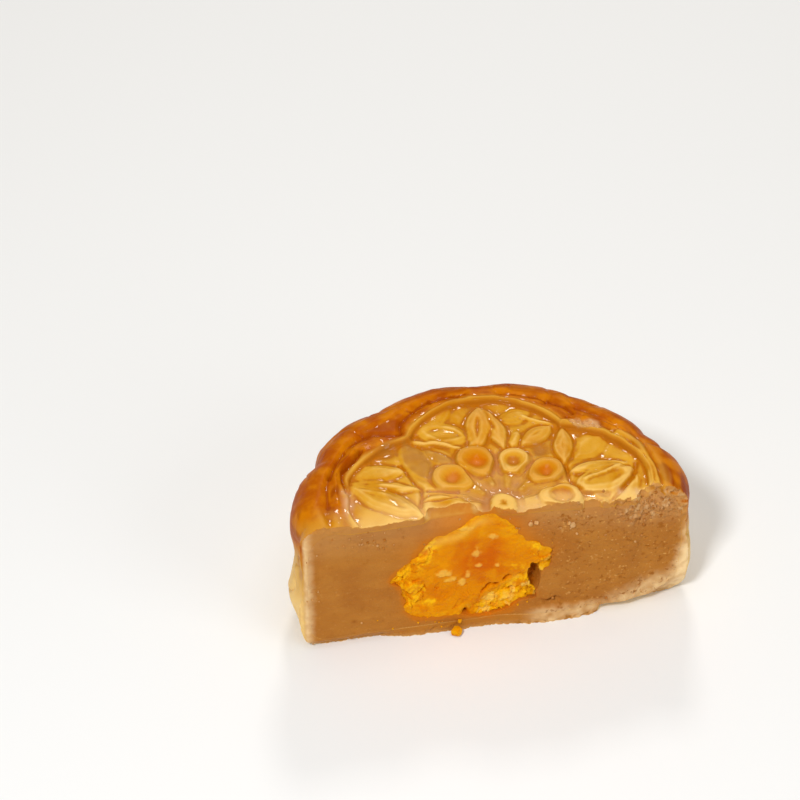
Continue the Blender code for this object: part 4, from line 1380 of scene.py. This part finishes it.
@dataclass
class EggYolk:
    """The salted egg yolk, smooth in the middle of its cut and crumbly round it."""

    cut: KnifeCut
    yolk: YolkForm
    finish: CutYolk = field(default_factory=CutYolk)
    cut_box: Quad = (-26.0, 14.0, -1.0, 36.0)
    cut_spacing: float = 0.16
    pocket_roughness: float = 0.30
    smooth_centre: Pair = (-6.0, 20.0)
    smooth_radii: Pair = (8.6, 7.2)
    # pale spots, partly painted highlights; each is a middle in x and z, a half width and a half height
    pale_and_highlight_spots: tuple[Quad, ...] = (
        (-7.4, 26.4, 1.9, 0.7), (-2.2, 23.0, 1.0, 0.8), (-11.8, 15.6, 1.5, 0.9), (-10.4, 13.9, 1.0, 0.8),
        (-8.2, 12.8, 0.8, 1.2), (-7.0, 14.6, 0.6, 0.9), (-5.4, 19.6, 0.8, 1.4), (-5.0, 16.6, 0.6, 0.5),
        (-2.6, 7.0, 1.6, 1.2), (1.0, 7.0, 1.6, 1.3), (-1.2, 16.0, 0.5, 0.4), (-15.0, 22.6, 0.8, 0.5),
    )
    yellow_spots: tuple[Quad, ...] = (
        (-17.4, 17.6, 1.4, 1.2), (-20.4, 15.6, 1.6, 1.4), (-16.4, 12.6, 1.0, 1.3), (-15.0, 8.8, 1.6, 1.0),
        (2.4, 11.0, 2.0, 1.4), (6.6, 21.0, 1.6, 1.6), (-5.6, 6.0, 1.4, 1.0), (2.8, 15.4, 1.2, 1.0),
    )

    def crumbliness(self, x: Array, z: Array) -> Array:
        """0 in the smooth part of the yolk and 1 where it crumbles."""
        (cx, cz), (rx, rz) = self.smooth_centre, self.smooth_radii
        off = np.hypot((x - cx) / rx, (z - cz) / rz) + 0.3 * swell(on_cut(x, z), 3.0, 2.0)
        return ease(0.6, 1.3, off) * (1 - 0.5 * fade(-14, -7, x) * fade(5, 10, z))

    def corner(self, x: Array, z: Array) -> Array:
        """1 in the yellow corner that crumbles most."""
        return ease(-7.5, -4, x) * fade(9.0, 12.2, z - 0.7 * x)

    def flaky(self, x: Array, z: Array) -> Array:
        """1 where it breaks in sharp flakes: along its left edge and in the yellow corner."""
        left = fade(2.5, 5.5, self.yolk.inside(x, z)) * fade(-15, -11, x) * ease(6, 10, z)
        return np.maximum(left, self.corner(x, z))

    def spotted(self, spots: Sequence[Quad], x: Array, z: Array) -> Array:
        """1 on spots with torn edges, each a middle in x and z and its half width and half height."""
        ragged = 0.7 * swell(on_cut(x, z), 1.0, 22.0) + 0.35 * swell(on_cut(x, z), 0.45, 26.0)
        nearest = np.min([np.hypot((x - sx) / rx, (z - sz) / rz) for sx, sz, rx, rz in spots], axis=0)
        return fade(0.35, 1.25, nearest + ragged)

    def face(self, x: Array, z: Array) -> Array:
        """How far along Y the yolk's broken face lies."""
        at = on_cut(x, z)
        crumbly, flaky = self.crumbliness(x, z), self.flaky(x, z)
        bent = at + 0.8 * swell(at, 1.3, 12.0)[:, None] * np.array((1.0, 0.0, 1.0))
        _, number, slope = grains(bent, 2.8, 1.0)
        flakes = (0.2 + 0.7 * flaky) * number + (0.4 + 0.5 * flaky) * slope
        _, number, slope = grains(bent, 1.2, 5.0)
        bits = (0.08 + 0.22 * flaky) * number + (0.12 + 0.30 * flaky) * slope
        bits = bits - 0.14 * np.abs(swell(at, 0.8, 6.0)) + 0.05 * swell(at, 0.35, 4.0)
        smooth = uneven(at, (0.30, 4.5, 2.0), (0.12, 1.5, 7.0), (0.04, 0.6, 3.0))
        crack_line = 11.8 + 0.5 * np.sin(1.7 * x) + 0.5 * x
        crack = 1.4 * bell(z, crack_line, 0.4) * window(x, -5, -3, 1.5, 3.0)
        crack = crack * ease(-0.25, 0.25, swell(at, 1.3, 30.0)) - 0.2 * self.spotted(self.pale_and_highlight_spots, x, z)
        crack = crack + 1.6 * bell(x, -7.4, 0.7) * bell(z, 4.0, 1.2)
        broken = smooth + crumbly * (flakes + bits) + 0.8 * self.corner(x, z) + crack
        return self.cut.plane(x, z) + 0.1 + broken

    def dress(self, piece: Piece) -> None:
        """Paints where the yolk is deep orange, yellow or pale, with painted shade in its creases and pocket
        and painted highlights on its pale spots and along its top.
        """
        x, y, z = points_of(piece).T
        at = on_cut(x, z)
        crumbly, corner = self.crumbliness(x, z), self.corner(x, z)
        inside = self.yolk.inside(x, z)
        edge = fade(0.0, 3.4, inside + 1.2 * swell(at, 2.0, 4.0))
        _, number, _ = grains(at, 1.5, 1.0)
        heart = np.hypot((x + 4.6) / 5.2, (z - 17.6) / 4.8) + 0.5 * swell(at, 2.6, 6.0)
        deep = np.maximum(fade(0.3, 1.6, heart), 0.35 * ease(-0.1, 0.5, swell(at, 4.0, 9.0)) * crumbly)
        # painted shade in the face's creases, laid with the deep orange
        creases = 0.8 * ease(0.02, 0.14, hollowness(piece, NEAR_ROUNDS)) * ease(0.5, 2.0, inside)
        paint(piece, "shaded", ease(1.0, 1.8, y - self.cut.plane(x, z) - 0.8 * corner * (x < 4.4)))
        paint(piece, "deep", np.maximum(deep, creases) * (1 - 0.7 * corner))
        flecks = self.flaky(x, z) * (0.65 + 1.4 * number)
        spots = self.spotted(self.yellow_spots, x, z)
        paint(piece, "yellow", np.maximum.reduce((0.35 * edge, flecks, spots, 0.85 * corner)))
        # painted highlight along the top of the yolk's face
        highlight_arc = 0.4 * bell(inside, 1.6, 1.0) * ease(20, 24, z) * fade(-5, -1, x)
        pale = 0.6 * self.spotted(self.pale_and_highlight_spots, x, z)
        paint(piece, "pale", np.maximum.reduce((highlight_arc, pale, 0.8 * ease(0.05, 0.4, number) * corner)))

    def cut_form(self) -> Piece:
        """Makes the yolk and cuts it."""
        piece = self.yolk.build("cut_egg_yolk", -self.cut.front)
        carve(piece, blade("yolk_knife", self.face, self.cut_box, self.cut_spacing))
        carve(piece, self.yolk.pocket("yolk_pocket", self.pocket_roughness))
        return cleared(piece)


@dataclass(frozen=True)
class Sprinkling:
    """One kind of crumb.

    The scattered ones have a count, a range of sizes, and spots that give their middle in x and z and their
    spread in x and z. The placed ones are each an x, a z and a size. Both are painted with the same shares.
    """

    kind: str
    node: Node
    count: int
    sizes: Pair
    spots: tuple[Quad, ...]
    placed: tuple[Triple, ...]
    shares: tuple[tuple[str, float], ...] = ()


@dataclass(frozen=True)
class Crumbs:
    """Loose crumbs that the knife has left on the cut and at its foot."""

    sprinklings: tuple[Sprinkling, ...] = (
        Sprinkling("yolk_crumbs", Node.YOLK, 14, (0.15, 0.4), (
            (-20.5, 6.5, 2.4, 3.0), (-13.0, 3.4, 3.0, 0.6), (4.5, 4.6, 3.0, 1.0), (7.5, 21.5, 1.6, 2.4)
        ), ((-9.3, -1.4, 2.0), (-8.6, 2.6, 0.9), (-12.2, 1.6, 0.4)), (("yellow", 0.45),)),
        Sprinkling("paste_crumbs", Node.PASTE, 80, (0.2, 0.5), (
            (29.5, 27.0, 3.4, 1.6), (24.0, 24.0, 5.0, 3.0), (12.0, 26.4, 4.0, 1.0), (-28.0, 26.6, 6.0, 1.6)
        ), ((9.6, 6.2, 0.6), (20.4, 4.0, 0.6), (27.0, 19.5, 0.5)), (("creamy", 0.1),)),
        Sprinkling("pastry_crumbs", Node.SKIN, 22, (0.15, 0.35), (
            (-36.4, 12.0, 0.9, 6.0), (-26.0, 28.3, 6.0, 0.5), (6.0, 28.3, 6.0, 0.5), (24.0, 2.8, 6.0, 1.0)
        ), (
            (4.9, 27.2, 0.8), (5.9, 27.4, 0.8), (12.3, 26.2, 0.8), (13.1, 25.6, 0.9), (-28.0, 5.6, 0.35),
            (14.0, 23.0, 0.5),
        ), (("cut", 1.0), ("creamy", 0.3))),
    )
    seed: int = 5
    shapes: int = 5
    lump_size: float = 0.8
    lump_roughness: float = 0.16
    sunk: float = 0.28
    fallen: float = 0.6
    start: float = -30.0
    lowest: float = 0.4
    edge: float = 25.0

    def lump(self, seed: int) -> Piece:
        """Makes one angular crumb about a millimetre across."""
        release()
        bpy.ops.mesh.primitive_cube_add(size=self.lump_size)
        piece = named("lump")
        edit(piece)
        bpy.ops.mesh.subdivide(number_cuts=1)
        bpy.ops.transform.tosphere(value=0.5)
        bpy.ops.transform.vertex_random(offset=self.lump_roughness, seed=seed)
        bpy.ops.object.mode_set(mode="OBJECT")
        return piece

    def scatter(self, sprinkling: Sprinkling, cut: BVHTree) -> Piece:
        """Lays one kind of crumb on the cut.

        Args:
            sprinkling: What to lay and where.
            cut: The cut cake's surface.

        Returns:
            All of its crumbs as one piece.
        """
        chance = np.random.default_rng(self.seed + sprinkling.count)
        lumps = [self.lump(self.seed + i) for i in range(self.shapes)]
        spots = [sprinkling.spots[i] for i in chance.integers(0, len(sprinkling.spots), sprinkling.count)]
        laid = [
            (chance.normal(x, dx), chance.normal(z, dz), chance.uniform(*sprinkling.sizes))
            for x, z, dx, dz in spots
        ]
        release()
        crumbs = []
        for i, (x, z, size) in enumerate(laid + list(sprinkling.placed)):
            before = Vector((x, self.start, max(z, self.lowest)))
            hit, normal, _, _ = cut.ray_cast(before, Vector((0.0, 1.0, 0.0)))
            if hit is None:
                continue
            crumb = bpy.data.objects.new(sprinkling.kind, lumps[i % len(lumps)].data.copy())
            turn = Vector(chance.uniform(-1, 1, 3)).to_track_quat("Z", "X").to_matrix().to_4x4()
            stretch = Matrix.Diagonal((*chance.uniform(0.7, 1.3, 3) * size, 1.0))
            centre = hit + normal * self.sunk * size
            centre.y += self.fallen * min(z, 0.0)
            centre.z = max(centre.z, 0.5 * size)
            crumb.data.transform(Matrix.Translation(centre) @ turn @ stretch)
            bpy.context.scene.collection.objects.link(crumb)
            crumb.select_set(True)
            crumbs.append(crumb)
        bpy.context.view_layer.objects.active = crumbs[0]
        bpy.ops.object.join()
        piece = bpy.context.object
        piece.name = piece.data.name = sprinkling.kind
        for name, share in sprinkling.shares:
            paint(piece, name, share + 0.4 * swell(points_of(piece), 1.5, 2.0))
        for lump in lumps:
            bpy.data.objects.remove(lump)
        return piece

    def build(self, cake: Sequence[Piece]) -> list[Piece]:
        """Lays all the crumbs on the finished cake, each kind as one piece."""
        corners, faces = [], []
        for part in cake:
            start = len(corners)
            corners.extend(vertex.co.copy() for vertex in part.data.vertices)
            faces.extend([start + corner for corner in face.vertices] for face in part.data.polygons)
        cut = BVHTree.FromPolygons(corners, faces)
        return [self.scatter(sprinkling, cut) for sprinkling in self.sprinklings]


@dataclass(frozen=True)
class Mooncake:
    """The cut mooncake: its three parts by node, and its crumbs."""

    form: CakeForm = CakeForm()
    crumbs: Crumbs = Crumbs()
    edge: float = 50.0

    def parts(self) -> dict[Node, PastrySkin | LotusPaste | EggYolk]:
        """Each part by the node that it replaces."""
        cut, core, ball = KnifeCut(self.form), PasteCore(self.form), YolkForm()
        return {
            Node.SKIN: PastrySkin(self.form, PressedFlower(), cut, core, ball),
            Node.PASTE: LotusPaste(cut, core, ball),
            Node.YOLK: EggYolk(cut, ball),
        }

    def plate(self, forms: dict[Node, Piece]) -> None:
        """Dresses the cut forms, lays the crumbs on them and sets everything on the frame."""
        finishes = {}
        for node, part in self.parts().items():
            part.dress(forms[node])
            move_points(forms[node], self.form.settled(points_of(forms[node])))
            finishes[node] = part.finish.material()
        sprinkled = self.crumbs.build(list(forms.values()))
        for node, piece in forms.items():
            serve(piece, finishes[node], self.edge)
            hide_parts(node.value)
            log.info("%s: %d faces", piece.name, len(piece.data.polygons))
        for sprinkling, piece in zip(self.crumbs.sprinklings, sprinkled):
            serve(piece, finishes[sprinkling.node], self.crumbs.edge)
            log.info("%s: %d faces", piece.name, len(piece.data.polygons))


@dataclass(frozen=True)
class SoftBox:
    """A square soft box: its name, its place and width in metres, its power and its tone."""

    name: str
    place: Triple
    width: float
    power: float
    tone: Tone

    def hang(self, aim: Triple) -> None:
        """Hangs the soft box so that it looks at a place."""
        light = bpy.data.lights.new(self.name, "AREA")
        light.shape = "RECTANGLE"
        light.size = light.size_y = self.width
        light.energy = self.power
        light.color = self.tone[:3]
        lamp = bpy.data.objects.new(self.name, light)
        lamp.location = self.place
        lamp.rotation_mode = "QUATERNION"
        lamp.rotation_quaternion = (Vector(aim) - Vector(self.place)).to_track_quat("-Z", "Y")
        bpy.context.scene.collection.objects.link(lamp)


@dataclass(frozen=True)
class Studio:
    """A plain pale floor, soft light and the camera at the photograph's view."""

    lights: tuple[SoftBox, ...] = (
        SoftBox("key_light", (-0.28, -0.42, 0.62), 0.12, 3.6, colour(255, 255, 255)),
        SoftBox("top_light", (0.05, -0.05, 0.80), 0.50, 1.5, colour(255, 251, 246)),
        SoftBox("back_light", (0.12, 0.50, 0.50), 0.12, 1.1, colour(255, 251, 246)),
        SoftBox("fill_light", (0.45, -0.50, 0.35), 0.40, 1.1, colour(255, 255, 255)),
    )
    aim: Triple = (0.0, 0.0, 0.016)
    room_tone: Tone = colour(255, 246, 230)
    room_light: float = 0.24
    eye: Triple = (-109.09, -493.78, 512.05)
    yaw: float = -0.1788
    pitch: float = 0.7319
    roll: float = -0.0087
    lens: float = 165.0
    film: float = 36.0
    clip: Pair = (0.05, 20.0)
    floor_size: float = 6.0
    floor_drop: float = 0.00003
    floor_colour: Tone = colour(238, 240, 242)

    def floor(self) -> None:
        """Lays the floor just under the cake."""
        release()
        bpy.ops.mesh.primitive_plane_add(size=self.floor_size, location=(0, 0, -self.floor_drop))
        floor = named("floor")
        recipe = Recipe("pale_floor")
        recipe.set(Base_Color=self.floor_colour, Roughness=0.9, Specular_IOR_Level=0.1)
        floor.data.materials.append(recipe.material)

    def camera(self) -> None:
        """Sets the camera where the photograph was taken from."""
        level = math.cos(self.pitch)
        forward = Vector((-math.sin(self.yaw) * level, math.cos(self.yaw) * level, -math.sin(self.pitch)))
        right = Vector((math.cos(self.yaw), math.sin(self.yaw), 0))
        up = right.cross(forward)
        leant_right = math.cos(self.roll) * right + math.sin(self.roll) * up
        leant_up = math.cos(self.roll) * up - math.sin(self.roll) * right
        data = bpy.data.cameras.new("camera")
        data.lens, data.sensor_width = self.lens, self.film
        data.clip_start, data.clip_end = self.clip
        eye = bpy.data.objects.new("camera", data)
        place = METRES * (Vector(self.eye) + CAKE_AXIS)
        turn = Matrix((leant_right, leant_up, -forward)).transposed().to_4x4()
        eye.matrix_world = Matrix.Translation(place) @ turn
        bpy.context.scene.collection.objects.link(eye)
        bpy.context.scene.camera = eye

    def build(self) -> None:
        """Sets the whole studio up."""
        self.floor()
        for light in self.lights:
            light.hang(self.aim)
        world = bpy.data.worlds.new("room")
        world.use_nodes = True
        background = world.node_tree.nodes["Background"].inputs
        background["Color"].default_value = self.room_tone
        background["Strength"].default_value = self.room_light
        bpy.context.scene.world = world
        bpy.context.scene.view_settings.view_transform = "Standard"
        self.camera()


def main() -> None:
    """Builds every piece, sets it on the frame and lights it."""
    logging.basicConfig(level=logging.INFO, format="%(message)s")
    noise.seed_set(NOISE_SEED)
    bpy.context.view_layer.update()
    cake = Mooncake()
    cake.plate({node: part.cut_form() for node, part in cake.parts().items()})
    Studio().build()


if __name__ == "__main__":
    main()
